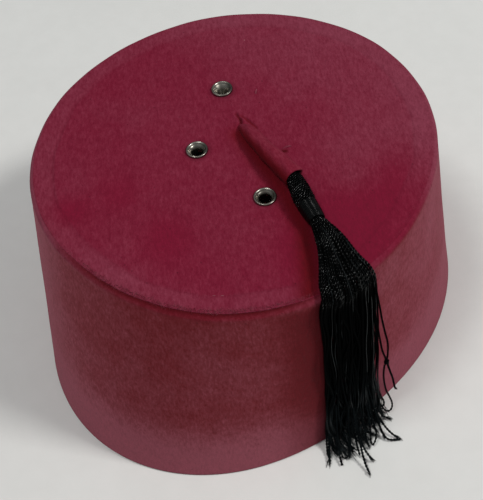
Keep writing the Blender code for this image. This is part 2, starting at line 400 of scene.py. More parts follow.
def felt(name, colours, sheen, tint, lie, lie_turn, relief, uneven, top_hue_and_light=None):
    """Wool felt with a short nap, in a deep and a dusty colour, the dusty one also standing for
    painted light and sheen. lie is how far the nap's grain is drawn out along X, Y and Z. The
    last argument holds the colours for the part painted with them: the top's own, and painted
    window light."""
    constants = {"Specular IOR Level": 0.12, "Sheen Weight": sheen, "Sheen Roughness": 0.4}
    finish = Finish(name, {**constants, "Sheen Tint": (*tint, 1)})
    flat = finish.place()
    drawn = finish.place(lie, lie_turn)
    blotches = finish.cloud(flat, 30, 5.0, 0.6, 0.5) - 0.5
    mottle = finish.cloud(flat, 4.5, 4.0, 0.65) - 0.5
    grain = finish.cloud(drawn, 1.0, 3.0, 0.7) - 0.5
    fibre = finish.cloud(drawn, 0.34, 2.0, 0.6) - 0.5
    pale_share = blotches * uneven + mottle * 0.5 * uneven + grain * 0.9 + finish.painted("rubbed")
    if top_hue_and_light:
        up = finish.painted("top_hue_and_light")
        colours = [finish.blend(up, *pair) for pair in zip(colours, top_hue_and_light)]
    body = finish.blend(pale_share.rising(-0.35, 0.75), *colours)
    # Painted shade: where it is painted, the felt takes its deep shade colour.
    body = finish.blend(finish.painted("kept") * 0.93, body, PAINTED_SHADE_COLOUR)
    pits = finish.specks(flat, 4.0, 0.45, 0.3)
    body = finish.blend(finish.specks(flat, 12.0, 0.40, 0.2) * 0.5, body, LINT)
    shade = 1 + grain * 0.6 + fibre * 0.4 + mottle * 0.2 - pits * 0.3
    # Painted shade, with some dirt, darkens the felt where it is painted.
    body = finish.scaled(body, shade * (1 - 0.8 * finish.painted("soiled")))
    finish.dress(body, grain * 0.3 + 0.9, grain * 0.5 + fibre * 0.3 + mottle * 0.6, relief)
    return finish


WALL_FELT = felt(
    "wall_felt",
    ((0.156, 0.0085, 0.0130), (0.276, 0.0665, 0.0940)),
    sheen=0.13,
    tint=(1.0, 0.42, 0.50),
    lie=(1.0, 1.0, 2.6),
    lie_turn=0.0,
    relief=0.00030,
    uneven=0.75,
    top_hue_and_light=FACING_UP,
)

roll_out = EDGE_ROUND - SEAM_ROLL
roll_level = EDGE_LEVEL + roll_out * sin(radians(SEAM_TURN))
roll_inset = EDGE_ROUND - roll_out * cos(radians(SEAM_TURN))
upright_heights = np.linspace(2 * RIM_CORNER, EDGE_LEVEL - 0.0006, UPRIGHT_ROWS)
inner_heights = np.linspace(BED - FELT - 0.004, INNER_BEND, INNER_ROWS)
bend_middle = (BED - FELT - INNER_BEND, FELT + INNER_BEND)
wall_profile = [
    *arc(RIM_CORNER, RIM_CORNER, RIM_CORNER, -90, 0, CORNER_ROWS),
    *[(height, 0.0) for height in upright_heights],
    *arc(EDGE_LEVEL, EDGE_ROUND, EDGE_ROUND, 0, SEAM_TURN, 12),
    *arc(roll_level, roll_inset, SEAM_ROLL, SEAM_TURN, 175, 8)[1:],
    (BED + 0.0008, SEAM_INSET + 0.00005),
    (BED + 0.0002, SEAM_INSET + 0.0001),
    *[(BED, inset) for inset in np.linspace(SEAM_INSET + 0.0004, ALLOWANCE_END, 6)],
    *arc(BED - FELT / 2, ALLOWANCE_END, FELT / 2, 90, 270, 9)[1:],
    (BED - FELT, 0.0065),
    *reversed(arc(*bend_middle, INNER_BEND, 0, 90, 6)),
    *[(height, FELT) for height in inner_heights],
    *arc(RIM_CORNER, FELT - RIM_CORNER, RIM_CORNER, 180, 270, CORNER_ROWS),
]
bearings = np.arange(WALL_SIDES) * 360 / WALL_SIDES
seam = seam_shown(bearings)
height, inset = np.array(wall_profile).T[:, :, None]
# The turned-in edge was cut by hand, so its width wanders.
hem = np.clip((inset - FELT) / (SEAM_ALLOWANCE - FELT), 0, 1) * (height > HEIGHT / 2)
wander = 0.0005 * np.sin(np.radians(bearings) * 11 + 2 * np.sin(np.radians(bearings) * 4))
standing = sway(bearings, height) * np.clip(height / 0.006, 0, 1)
reach = wall_reach(bearings, height) - inset - hem * wander + standing
# Away from the front the seam is filled up, level with the top.
flattened = eased(inset, 0.0010, 0.0020) * eased(0.0026 - inset, 0, 0.0003)
flattened = flattened * (height > HEIGHT - 0.0009) * (1 - seam)
wall_rows = around(bearings, reach, height + (HEIGHT - 0.0001 - height) * flattened)

# Low down the wall is painted paler, for dust and for light bounced off the card. The sides are
# paler too: partly dust, partly painted window light on the right and painted sheen on the left.
low_band = (0.58 + patches(LOW_DUST_AND_BOUNCE)) * eased(0.042 - height, 0, 0.036)
high_front = eased(height, 0.040, 0.085) * facing(bearings, -75, 80)
# Painted shadow: the tassel's cast shadow on the wall behind it is painted deep and darker,
# less so low down.
behind_tassel = np.clip(2.5 * facing(bearings, -16, 11), 0, 1)
behind_tassel = np.maximum(facing(bearings, -24, 17), behind_tassel) * (inset < FELT / 2)
kept = behind_tassel * eased(HEIGHT - height, 0.0005, 0.006)
kept = kept * (0.65 + 0.35 * eased(height, 0.01, 0.05))
# Painted shade: at the front the rolled brink dips into the sunk seam, and is painted deep
# and dark there.
crease = seam * eased(inset, 0.0, 0.0018) * (height > HEIGHT - 0.0030)
brink_worn = 0.20 - 0.30 * seam - 0.60 * facing(bearings, 9, 33)
brink_worn = brink_worn * eased(height, HEIGHT - 0.004, HEIGHT - 0.0008)
rubbed = low_band + patches(SIDES_DUST_AND_LIGHT) + brink_worn - 0.04 * high_front - 0.4 * kept
# The top's colours wrap over the brink; on the right side a share is painted as window light.
top_hue_and_light = eased(height, HEIGHT - 0.0036, HEIGHT - 0.0006) * (1 - 0.6 * seam)
top_hue_and_light = np.maximum(top_hue_and_light, 0.35 * facing(bearings, 28, 48))
# Painted shade darkens the crease and the tassel's shadow; the wall is darker along its foot.
cut_dark = 0.35 * eased(0.0012 - height, 0, 0.0012)
soiled = np.maximum(np.maximum(0.62 * crease, 0.42 * kept), cut_dark)
kept = np.maximum(kept, 0.85 * crease)
painted_marks = {"rubbed": rubbed, "kept": kept, "top_hue_and_light": top_hue_and_light, "soiled": soiled}
painted_marks = {label: values[::-1] for label, values in painted_marks.items()}
wall_mesh = shell("felt_wall", wall_rows[::-1], True, **painted_marks)
piece("felt_wall", wall_mesh, WALL_FELT.material, "wall_felt", "crown_side")

# ---- crown_top: the flat felt top
# A disc of the same felt, sewn in a little inside the brink over the wall's turned-in
# allowance, whose edge shows through as a faint stitched line. Eyelets and stem pierce it.

DISC_INSET = 0.00248
DISC_LIP = 0.00032
UNDER_ROWS = 20
EYELETS = {
    "eyelet_back": (-0.0260, 0.0195),
    "eyelet_middle": (-0.0092, -0.0112),
    "eyelet_front": (0.0280, -0.0111),
}
EYELET_HOLE = 0.0031
# All places on the top are from the axis. The slit's two legs meet behind the stem and open
# along its sides. Each has its points, its depth and its width.
SLITS = (
    (
        ((-11.4, 13.0), (-9.1, 12.3), (-7.6, 11.8), (-6.3, 10.7), (-5.5, 9.1), (-4.4, 7.6)),
        0.0012,
        0.00052,
    ),
    (((-9.2, 13.5), (-6.8, 13.6), (-3.6, 13.3), (-0.4, 13.0), (2.4, 12.2)), 0.0006, 0.00045),
)
# Painted shade: the tuck's opening, in the shadow of its raised edge, and the felt left of the
# stem and tassel, in their cast shadow.
TUCK_MOUTH = ((17.0, 10.0), (18.0, 11.2))
SHADED_LINE = ((-2.0, 6.0), (31.0, -4.2), (50.0, -13.0), (66.0, -27.5), (70.5, -33.0))
# Spots where the nap is cleaner: where they are, how wide and how much.
CLEAN_SPOTS = (
    (-0.0235, -0.0655, 0.0060, 0.45),
    (0.0150, -0.0484, 0.0090, 0.30),
    (-0.0140, -0.0480, 0.0070, 0.20),
)
# Where the top is painted paler, or deeper below 0, for dust and the window's sheen: how much,
# the bearing, how far either way, and the reaches between which it comes in.
TOP_DUST_AND_SHEEN = (
    (0.14, -75, 40, 0.060, 0.074),
    (0.36, 100, 85, 0.020, 0.070),
    (0.26, 36, 48, 0.020, 0.060),
    (-0.55, -6, 30, 0.030, 0.060),
    (-0.42, 22, 26, 0.048, 0.066),
)


def off_line(x, y, line):
    """Distance of each point from a bent line, and how far along it, 0 to 1, the nearest is."""
    nearest = np.full(x.shape, np.inf)
    along = np.zeros(x.shape)
    line = np.array(line) * MM
    for index, (start, end) in enumerate(zip(line, line[1:])):
        run = end - start
        share = ((x - start[0]) * run[0] + (y - start[1]) * run[1]) / (run @ run)
        share = np.clip(share, 0, 1)
        gap = np.hypot(x - start[0] - run[0] * share, y - start[1] - run[1] * share)
        along = np.where(gap < nearest, (index + share) / (len(line) - 1), along)
        nearest = np.minimum(nearest, gap)
    return nearest, along


def bell(away, width):
    """1 where away is 0, falling off to both sides over about that width."""
    return np.exp(-((away / width) ** 2))


def allowance_line(turn):
    """How far in from the edge the allowance's cut edge and its stitches show."""
    return SEAM_ALLOWANCE - 0.0004 + 0.0003 * np.sin(7 * turn) + 0.0002 * np.sin(17 * turn + 1)


def top_relief(x, y, reach, edge):
    """Height of the felt over a true plane, how much painted shade and dirt darken it, and where
    its folds take the painted shade colour.
    """
    turn = np.arctan2(y, x)
    inward = edge - reach
    # Long shallow swells, which die out towards the edge.
    relief = 0.12 * MM * np.sin(2 * turn + 0.6) * (reach / edge) ** 2
    relief = relief + 0.10 * MM * np.sin(x * 95 + 1.1) * np.cos(y * 80 - 0.4)
    relief = relief + 0.05 * MM * np.sin(x * 210 - y * 160) + 0.03 * MM * np.cos(x * 330 + y * 410)
    relief = relief * eased(inward, 0.003, 0.016)
    # The allowance shows through as a low step, with its stitches in a groove that is painted
    # darker, for dirt and shade.
    line = allowance_line(turn)
    relief = relief + 0.00016 * eased(line - inward, -0.0012, 0.0012)
    sunk = seam_shown(np.degrees(turn))
    drawn_in = 0.35 + 0.65 * facing(np.degrees(turn), -128, 50)
    groove = drawn_in * bell(inward - line, 0.00055)
    relief = relief - 0.00024 * groove - 0.00012 * sunk * bell(inward - DISC_INSET, 0.0010)
    dark = 0.20 * groove
    fold_shade = np.zeros(x.shape)
    # The felt dips round each eyelet, and is folded down along the slit, with a lip beside it.
    # Painted shade darkens each dip and fold, and gives the folds the deep shade colour.
    for spot in EYELETS.values():
        away = np.hypot(x - spot[0], y - spot[1])
        dip = bell(np.maximum(away - 0.0042, 0), 0.0014)
        relief = relief - 0.00030 * dip
        dark = dark + 0.35 * dip
    for line, depth, width in SLITS:
        gap, along = off_line(x, y, line)
        fade = np.sin(np.clip(along * 0.95 + 0.10, 0, 1) * pi) ** 0.5
        fold = fade * bell(gap, width)
        relief = relief - depth * fold + 0.0003 * fade * bell(gap - 0.0012, 0.0008)
        dark = dark + 200 * depth * fold
        fold_shade = np.maximum(fold_shade, 0.9 * fold)
    # Painted shadow under the tuck's raised edge, at its opening.
    mouth = bell(off_line(x, y, TUCK_MOUTH)[0], 0.00080)
    return relief, np.clip(dark + 0.70 * mouth, 0, 1), np.maximum(fold_shade, mouth)


TOP_FELT = felt(
    "top_felt",
    FACING_UP,
    sheen=0.08,
    tint=(1.0, 0.40, 0.50),
    lie=(2.4, 1.0, 1.0),
    lie_turn=radians(40),
    relief=0.00022,
    uneven=0.55,
)

edge = top_reach(bearings) + sway(bearings, HEIGHT)
# The disc's lip is fullest where the seam shows.
disc_lip = DISC_LIP * (0.4 + 0.6 * seam)
flat = edge - (DISC_INSET - 0.0007 + 0.0003 * seam) - disc_lip
finer_outside = (np.linspace(0.30, 0.84, 36)[1:], np.linspace(0.84, 1.0, 36)[1:])
upper = np.concatenate([np.linspace(0.004, 0.30, 66), *finer_outside])[:, None] * flat
x_place, y_place = upper * np.cos(np.radians(bearings)), upper * np.sin(np.radians(bearings))
relief, dark, fold_shade = top_relief(x_place, y_place, upper, edge)
upper_rows = around(bearings, upper, HEIGHT + relief)
rim_rows = []
for turn in np.radians(np.linspace(0, 90, 7)[1:]):
    level = HEIGHT + relief[-1] - disc_lip * (1 - cos(turn))
    rim_rows.append(around(bearings, flat + disc_lip * sin(turn), level))
lip = HEIGHT - FELT
for inward, lift in ((0, 0.0010), (0.0001, 0.0003), (0.0004, 0)):
    rim_rows.append(around(bearings, edge - DISC_INSET - inward, lip + lift))
rim_rows = np.array(rim_rows)
under_rows = around(bearings, np.linspace(0.985, 0.004, UNDER_ROWS)[:, None] * flat, lip)
under_rows[..., 2] += 0.00008 * np.sin(under_rows[..., 0] * 300) * np.cos(under_rows[..., 1] * 260)

# The band outside the stitched line is dustier. Elsewhere the table paints the top paler or
# deeper, partly for dust and partly for the window's sheen on the far and right sides.
rubbed = 0.20 * eased(allowance_line(np.radians(bearings)) - (edge - upper), -0.0015, 0.0015)
for amount, middle, around_it, start, full in TOP_DUST_AND_SHEEN:
    rubbed = rubbed + amount * facing(bearings, middle, around_it) * eased(upper, start, full)
for x, y, width, amount in CLEAN_SPOTS:
    rubbed = rubbed - amount * bell(np.hypot(x_place - x, y_place - y), width)
rubbed = rubbed - 0.06
# Painted shadow: the felt left of the stem and tassel is painted deep and darker.
off_shade, along_shade = off_line(x_place, y_place, SHADED_LINE)
shaded = bell(off_shade, 0.0042)
dark = np.maximum(dark, shaded * (0.10 + 0.30 * eased(along_shade, 0.35, 0.6)))
rim_count = len(rim_rows)
# Painted shade darkens the disc's lip where it turns down into the sunk seam.
rim_dark = np.linspace(0, 1, rim_count)[:, None] * 0.15 * seam
below = np.zeros((UNDER_ROWS, WALL_SIDES))
top_mesh = shell(
    "felt_top",
    np.concatenate([upper_rows, rim_rows, under_rows]),
    False,
    rubbed=np.vstack([rubbed, np.repeat(rubbed[-1:], rim_count, axis=0), below]),
    kept=np.vstack([np.maximum(shaded, fold_shade), 0 * rim_dark, below]),
    soiled=np.vstack([dark, rim_dark, below]),
)


def baked(name, made):
    """The object as its modifiers leave it, as a plain mesh. The object itself goes."""
    graph = bpy.context.evaluated_depsgraph_get()
    mesh = bpy.data.meshes.new_from_object(made.evaluated_get(graph))
    mesh.name = name
    bpy.data.objects.remove(made)
    return mesh


def punched(mesh, spots, radius):
    """The mesh with a round hole through it at each spot from the axis."""
    punches = bmesh.new()
    size = {"segments": 64, "radius1": radius, "radius2": radius, "depth": 4 * FELT}
    for x, y in spots:
        where = Matrix.Translation((AXIS_X + x, y, HEIGHT))
        bmesh.ops.create_cone(punches, cap_ends=True, matrix=where, **size)
    punch_mesh = bpy.data.meshes.new("punches")
    punches.to_mesh(punch_mesh)
    punches.free()
    tool, blank = added("punches", punch_mesh), added("blank", mesh)
    cut = blank.modifiers.new("holes", "BOOLEAN")
    cut.operation = "DIFFERENCE"
    cut.object = tool
    done = baked(mesh.name, blank)
    bpy.data.objects.remove(tool)
    return done


top_mesh = punched(top_mesh, EYELETS.values(), EYELET_HOLE)
top_mesh.shade_smooth()
piece("felt_top", top_mesh, TOP_FELT.material, "top_felt", "crown_top")

# ---- the stitches round the top
# A row of running stitches in dull red thread holds the allowance under the top. Most have
# sunk into the nap, and a few lie proud of it at the front and on the right.

STITCH_PITCH = 0.0029
STITCH_LENGTH = 0.0017
STITCH_RADIUS = 0.00011
STITCH_REACH = TOP_RADIUS - SEAM_ALLOWANCE
PROUD_STITCHES = ((-49, 11), (16, 4))
# A snipped end of the thread stands up behind the stem. Millimetres from the axis.
SNIPPED = ((-13.3, 26.6, 98.3), (-13.5, 26.9, 98.9), (-13.8, 27.4, 99.3), (-14.2, 28.0, 99.5))


class Pattern(Recipe):
    """A Geometry Nodes tree in the making. Its sizes are named inputs."""

    def __init__(self, name, sizes):
        self.tree = bpy.data.node_groups.new(name, "GeometryNodeTree")
        face = self.tree.interface
        face.new_socket("Geometry", in_out="INPUT", socket_type="NodeSocketGeometry")
        face.new_socket("Geometry", in_out="OUTPUT", socket_type="NodeSocketGeometry")
        self.names = {}
        for label, value in sizes.items():
            kind = "NodeSocketInt" if isinstance(value, int) else "NodeSocketFloat"
            made = face.new_socket(label, in_out="INPUT", socket_type=kind)
            made.default_value = value
            self.names[label] = made.identifier
        self.start = self.tree.nodes.new("NodeGroupInput")
        self.end = self.tree.nodes.new("NodeGroupOutput")
        self.given = Reading(self, self.start.outputs[0])

    def size(self, label):
        return Reading(self, self.start.outputs[label])

    def carried(self, label):
        """What was painted on the given mesh's points under that name."""
        inputs = {"Name": label}
        return self.node("GeometryNodeInputNamedAttribute", {"data_type": "FLOAT"}, inputs)

    def close(self, shape, finish):
        """Ends the tree: instances are realized and the finish is set."""
        shape = self.node("GeometryNodeRealizeInstances", {}, {"Geometry": shape})
        inputs = {"Geometry": shape, "Material": finish.material}
        shape = self.node("GeometryNodeSetMaterial", {}, inputs)
        self.tree.links.new(shape.socket, self.end.inputs[0])

    def grown(self, name, mesh, sizes):
        """The tree's result on a mesh, as a plain mesh."""
        seed = added(name, mesh)
        modifier = seed.modifiers.new(name, "NODES")
        modifier.node_group = self.tree
        for label, value in sizes.items():
            modifier[self.names[label]] = value
        return baked(name, seed)


def twisted_cord(finish):
    """Cords along a mesh's loose edges: two plies twisted together, as thick as "thick" says.
    "crest" is 1 where a ply stands out furthest."""
    cord = Pattern("twisted_cord", {"Pitch": 0.0028, "Waist": 0.34, "Sides": 8})
    line = cord.node("GeometryNodeMeshToCurve", {}, {0: cord.given})
    length = cord.node("GeometryNodeSplineParameter", {}, {}, "Length")
    tilt = length * (2 * pi) / cord.size("Pitch") + cord.carried("phase")
    line = cord.node("GeometryNodeSetCurveTilt", {}, {"Curve": line, "Tilt": tilt})
    inputs = {"Resolution": cord.size("Sides"), "Radius": 1.0}
    ring = cord.node("GeometryNodeCurvePrimitiveCircle", {}, inputs)
    where = cord.node("GeometryNodeInputPosition", {}, {})
    crest = cord.node("ShaderNodeSeparateXYZ", {}, {0: where}, 0).size()
    settings = {"data_type": "FLOAT", "domain": "POINT"}
    inputs = {"Geometry": ring, "Name": "crest", "Value": crest}
    ring = cord.node("GeometryNodeStoreNamedAttribute", settings, inputs)
    plies = cord.scaled(where, crest.at_least(cord.size("Waist")))
    ring = cord.node("GeometryNodeSetPosition", {}, {"Geometry": ring, "Position": plies})
    inputs = {"Curve": line, "Profile Curve": ring, "Fill Caps": True}
    inputs["Scale"] = cord.carried("thick")
    shape = cord.node("GeometryNodeCurveToMesh", {}, inputs)
    inputs = {"Geometry": shape, "Shade Smooth": True}
    cord.close(cord.node("GeometryNodeSetShadeSmooth", {}, inputs), finish)
    return cord


def from_axis(points):
    """Points given in millimetres from the hat's axis."""
    return np.array([AXIS_X, 0, 0]) + np.array(points) * MM


def lay(name, runs, random, pattern, sizes, slot, *nodes):
    """A piece of cords that follow these runs of points. Each has its thickness, and starts
    anywhere in its twist."""
    counts = [len(run) for run, _ in runs]
    edges, first = [], 0
    for count in counts:
        edges += [(first + i, first + i + 1) for i in range(count - 1)]
        first += count
    mesh = meshed(name, np.vstack([run for run, _ in runs]).tolist(), edges, [])
    thickness = [np.broadcast_to(thick, len(run)) for run, thick in runs]
    paint(mesh, "thick", np.concatenate(thickness))
    paint(mesh, "phase", np.repeat([random.uniform(0, 2 * pi) for _ in runs], counts))
    piece(name, pattern.grown(name, mesh, sizes), None, slot, *nodes)


def thread(name, constants, patch, tints, roughness, relief=None):
    """A thread or fibre whose colour and roughness change in soft patches of that size."""
    finish = Finish(name, constants)
    tuft = finish.cloud(finish.place(), *patch)
    least, more = roughness
    rough = tuft * more + least if more else least
    finish.dress(finish.blend(tuft.rising(0.35, 0.65), *tints), rough, relief and tuft, relief)
    return finish


STITCH_THREAD = Finish("stitch_thread", {"Specular IOR Level": 0.3, "Sheen Weight": 0.2})
strand = STITCH_THREAD.cloud(STITCH_THREAD.place(), 0.3, 2.0)
colour = STITCH_THREAD.blend(strand, (0.24, 0.070, 0.095), (0.32, 0.125, 0.150))
STITCH_THREAD.dress(colour, strand * 0.2 + 0.55, strand, 0.00004)

random = np.random.default_rng(5)
stitches = []
for index in range(int(2 * pi * STITCH_REACH / STITCH_PITCH)):
    middle = index * STITCH_PITCH / STITCH_REACH
    bearing = np.degrees(middle) % 360
    proud = max(facing(bearing, where, spread) for where, spread in PROUD_STITCHES)
    half_turn = STITCH_LENGTH / 2 / STITCH_REACH
    turn = middle + np.linspace(-half_turn, half_turn, 6)
    line = top_reach(np.degrees(turn)) - allowance_line(turn) + random.uniform(-0.00012, 0.00012)
    rise = -0.00115 + 0.00088 * (proud ** 0.3) + 0.00008 * random.random()
    bow = 0.00016 * np.sin(np.linspace(0, pi, 6)) + rise
    stitches.append((around(np.degrees(turn), line, HEIGHT + bow), STITCH_RADIUS))
stitches.append((from_axis(SNIPPED), 0.00012))
STITCH = twisted_cord(STITCH_THREAD)
lay("top_stitches", stitches, random, STITCH, {"Waist": 1.0, "Sides": 5}, "top_felt")

# ---- the raised nap
# Wool fibres stand up from the felt all over. They blur its outline, and the longest hang
# over the sunk seam from both of its lips.

NAP_FELT = thread(
    "nap_fibre",
    {"Specular IOR Level": 0.1, "Sheen Weight": 0.1, "Sheen Tint": (1.0, 0.5, 0.55, 1)},
    (3.0, 3.0),
    ((0.19, 0.012, 0.028), (0.25, 0.052, 0.076)),
    (0.9, 0),
)


def napped(finish):
    """Fine tapered fibres, scattered over a skin and leaning at random."""
    sizes = {"Fibres": 1.0, "Length": 0.0007, "Thickness": 0.00003, "Lean": 0.8, "Seed": 3}
    nap = Pattern("nap", sizes)
    seed = {"Seed": nap.size("Seed")}
    inputs = {"Mesh": nap.given, "Density": nap.size("Fibres"), **seed}
    scattered = nap.node("GeometryNodeDistributePointsOnFaces", {}, inputs)
    upright = Reading(nap, scattered.socket.node.outputs["Rotation"])
    inputs = {"Vertices": 3, "Radius Top": 0.0}
    inputs.update({"Radius Bottom": nap.size("Thickness"), "Depth": nap.size("Length")})
    fibre = nap.node("GeometryNodeMeshCone", {"fill_type": "TRIANGLE_FAN"}, inputs)
    settings = {"data_type": "FLOAT_VECTOR"}
    inputs = {0: (-1.0, -1.0, -1.0), 1: (1.0, 1.0, 1.0), **seed}
    lot = nap.node("FunctionNodeRandomValue", settings, inputs)
    tilt = nap.scaled(lot, nap.size("Lean"))
    tilt = nap.node("FunctionNodeEulerToRotation", {}, {"Euler": tilt})
    inputs = {"Rotation": upright, "Rotate By": tilt}
    leaning = nap.node("FunctionNodeRotateRotation", {"rotation_space": "LOCAL"}, inputs)
    inputs = {2: 0.45, 3: 1.3, **seed}
    grown = nap.node("FunctionNodeRandomValue", {"data_type": "FLOAT"}, inputs, 1)
    inputs = {"Points": scattered, "Instance": fibre, "Rotation": leaning}
    inputs["Scale"] = grown * nap.carried("longer")
    nap.close(nap.node("GeometryNodeInstanceOnPoints", {}, inputs), finish)
    return nap


NAP = napped(NAP_FELT)
front_only = 0.30 + 0.70 * seam
seam_fibres = {"Fibres": 7.0e6, "Length": 0.0018, "Thickness": 0.00006, "Lean": 1.3, "Seed": 9}
brink_start = CORNER_ROWS + UPRIGHT_ROWS
for name, slot, rows, longer, sizes in (
    ("wall_nap", "wall_felt", wall_rows[CORNER_ROWS:brink_start], 1.0, {"Fibres": 3.0e5}),
    (
        "brink_nap",
        "wall_felt",
        wall_rows[brink_start:][:BRINK_ROWS],
        1.0,
        {"Fibres": 2.6e6, "Length": 0.0008, "Lean": 0.9},
    ),
    (
        "top_nap",
        "top_felt",
        np.concatenate([upper_rows[30:], rim_rows[:4]]),
        1.0,
        {"Fibres": 3.2e5, "Length": 0.0006, "Seed": 7},
    ),
    (
        "lip_nap",
        "top_felt",
        np.concatenate([upper_rows[-4:], rim_rows[:4]]),
        front_only,
        seam_fibres,
    ),
):
    skin = shell(name, rows[::-1], False, capped=False, longer=longer)
    piece(name, NAP.grown(name, skin, sizes), None, slot)

# ---- eyelets: three nickel eyelets
# Each is drawn from thin brass strip and nickel plated. Its dished flange sits in the nap, its
# barrel goes through the felt, and its end is split and clinched over on the inside.

EYELET_SIDES = 84
PETALS = 7
EYELET_SUNK = 0.00012
# Half of the section in millimetres: radius, and height from the top of the felt.
EYELET_SECTION = (
    (2.10, -3.30), (2.12, -2.40), (2.17, -1.60), (2.30, -1.00), (2.52, -0.56), (2.80, -0.22),
    (3.06, -0.02), (3.26, 0.16), (3.44, 0.42), (3.62, 0.64), (3.82, 0.78), (4.02, 0.82),
    (4.20, 0.74), (4.34, 0.56), (4.41, 0.32), (4.42, 0.08), (4.36, -0.12), (4.16, -0.20),
    (3.30, -0.20), (2.90, -0.24), (2.72, -0.45), (2.66, -2.30), (2.80, -2.64), (3.20, -2.74),
    (3.70, -2.66), (3.92, -2.72), (3.98, -2.90), (3.82, -3.06), (3.30, -3.16), (2.80, -3.34),
    (2.45, -3.46),
)
# How much painted shade darkens the throat, from its bottom up.
THROAT_SHADE = (1, 1, 0.97, 0.84, 0.58, 0.34, 0.18, 0.08, 0.03)
# How far each barrel's lower end was squeezed in when it was set, and how much painted shade
# its throat takes: the back one's throat is the lightest.
SET_EYELETS = {
    "eyelet_back": (0.62, 0.30),
    "eyelet_middle": (0.28, 0.72),
    "eyelet_front": (0.02, 1.0),
}

NICKEL = Finish("nickel", {"Metallic": 1.0})
plate = NICKEL.place()
tarnish = NICKEL.cloud(plate, 2.2, 4.0, 0.6)
scratches = NICKEL.cloud(NICKEL.place((3.0, 0.4, 1.0), radians(25)), 0.7, 2.0)
dulled = tarnish.rising(0.38, 0.66)
body = NICKEL.blend(dulled, (0.33, 0.315, 0.275), (0.18, 0.17, 0.142))
body = NICKEL.scaled(body, 1 - NICKEL.painted("soiled"))
rough = dulled * 0.14 + scratches * 0.06 + 0.24
NICKEL.dress(body, rough, scratches * 0.3 + tarnish * 0.7, 0.00001)

radius, level = (np.array(EYELET_SECTION) * MM).T[:, :, None]
bearing = np.arange(EYELET_SIDES) * 360 / EYELET_SIDES
turn = np.radians(bearing)
clinched = np.clip(-0.0026 - level, 0, 0.0001) / 0.0001
deep_down = np.clip(-level[:4] / 0.0033, 0, 1) ** 1.5
for name, (x_spot, y_spot) in EYELETS.items():
    squeeze, hole_shade = SET_EYELETS[name]
    barrel = radius.copy()
    barrel[:4] *= 1 - squeeze * deep_down
    split = 1 - 0.42 * np.abs(np.cos(turn * PETALS / 2 + x_spot * 900)) ** 6
    out = barrel + clinched * (split - 1) * np.maximum(barrel - 0.0024, 0)
    x, y = AXIS_X + x_spot + out * np.cos(turn), y_spot + out * np.sin(turn)
    z = np.broadcast_to(HEIGHT - EYELET_SUNK + level, x.shape)
    # Painted shade darkens the throat, and the ring where the flange meets the felt.
    soiled = np.zeros(x.shape)
    soiled[:9] = np.array(THROAT_SHADE)[:, None] * hole_shade
    soiled[15:18] = 0.5
    # Painted shade: the plate is painted darker on its side towards bearing 50.
    soiled[5:15] = np.maximum(soiled[5:15], 0.55 * facing(bearing, 50, 85))
    mesh = shell(name, np.stack([x, y, z], axis=-1), True, soiled=soiled)
    mesh.set_sharp_from_angle(angle=radians(50))
    piece(name + "_metal", mesh, NICKEL.material, "nickel", name)

# ---- stem: the little felt tail
# A strip of the same felt rolled into a tube whose free edge lies underneath. Its root is
# pinched and pushed through the slit in the top, and it has flopped over towards the tassel.

ROOT = np.array([AXIS_X - 0.0065, 0.0104, HEIGHT])
STEM_BEARING = radians(-14.9)
STEM_SIDES = 72
STEM_RINGS = 120
BORE_RINGS = 18
BORE_DEPTH = 0.010
STEM_WALL = 0.0010
STEM_BOW = -0.0008
# Millimetres: along from the root, rise of the middle line, half width, half height.
STEM_STATIONS = (
    (-5.0, -5.2, 1.0, 1.0), (-2.2, -3.6, 1.3, 1.1), (1.0, -1.7, 1.7, 1.5), (4.2, 0.5, 2.3, 2.0),
    (8.4, 2.4, 2.8, 2.6), (13.8, 3.6, 3.1, 3.1), (20.0, 4.2, 3.25, 3.3), (26.2, 4.9, 3.5, 3.6),
    (33.0, 5.5, 3.9, 3.65), (40.9, 6.0, 3.75, 3.6),
)


def run_along(points):
    """How far along its line each point lies."""
    steps = np.linalg.norm(np.diff(points[:, :3], axis=0), axis=1)
    return np.concatenate([[0], np.cumsum(steps)])


def smoothed(stations, count):
    """Rows on a smooth curve through the stations, evenly spaced along it."""
    rows = np.array(stations, float)
    padded = np.vstack([2 * rows[0] - rows[1], rows, 2 * rows[-1] - rows[-2]])
    t = np.linspace(0, 1, 24, endpoint=False)[:, None]
    found = []
    for before, start, end, after in zip(padded, padded[1:], padded[2:], padded[3:]):
        found.append(
            start
            + (end - before) * t / 2
            + (before * 2 - start * 5 + end * 4 - after) * t**2 / 2
            + (start * 3 - before - end * 3 + after) * t**3 / 2
        )
    dense = np.vstack([*found, rows[-1:]])
    run = run_along(dense)
    want = np.linspace(0, run[-1], count)
    return np.stack([np.interp(want, run, column) for column in dense.T], axis=1)


STEM_FELT = felt(
    "stem_felt",
    ((0.172, 0.0056, 0.0225), (0.214, 0.0360, 0.0600)),
    sheen=0.02,
    tint=(1.0, 0.38, 0.48),
    lie=(2.0, 0.8, 1.0),
    lie_turn=radians(15),
    relief=0.00025,
    uneven=0.6,
)

stem_axis = np.array([cos(STEM_BEARING), sin(STEM_BEARING), 0])
stem_side = np.array([-stem_axis[1], stem_axis[0], 0])
stem_up = np.array([0, 0, 1.0])
stem_rows = smoothed(STEM_STATIONS, STEM_RINGS) * MM
stem_bearing = np.arange(STEM_SIDES) * 360 / STEM_SIDES
stem_turn = np.radians(stem_bearing)


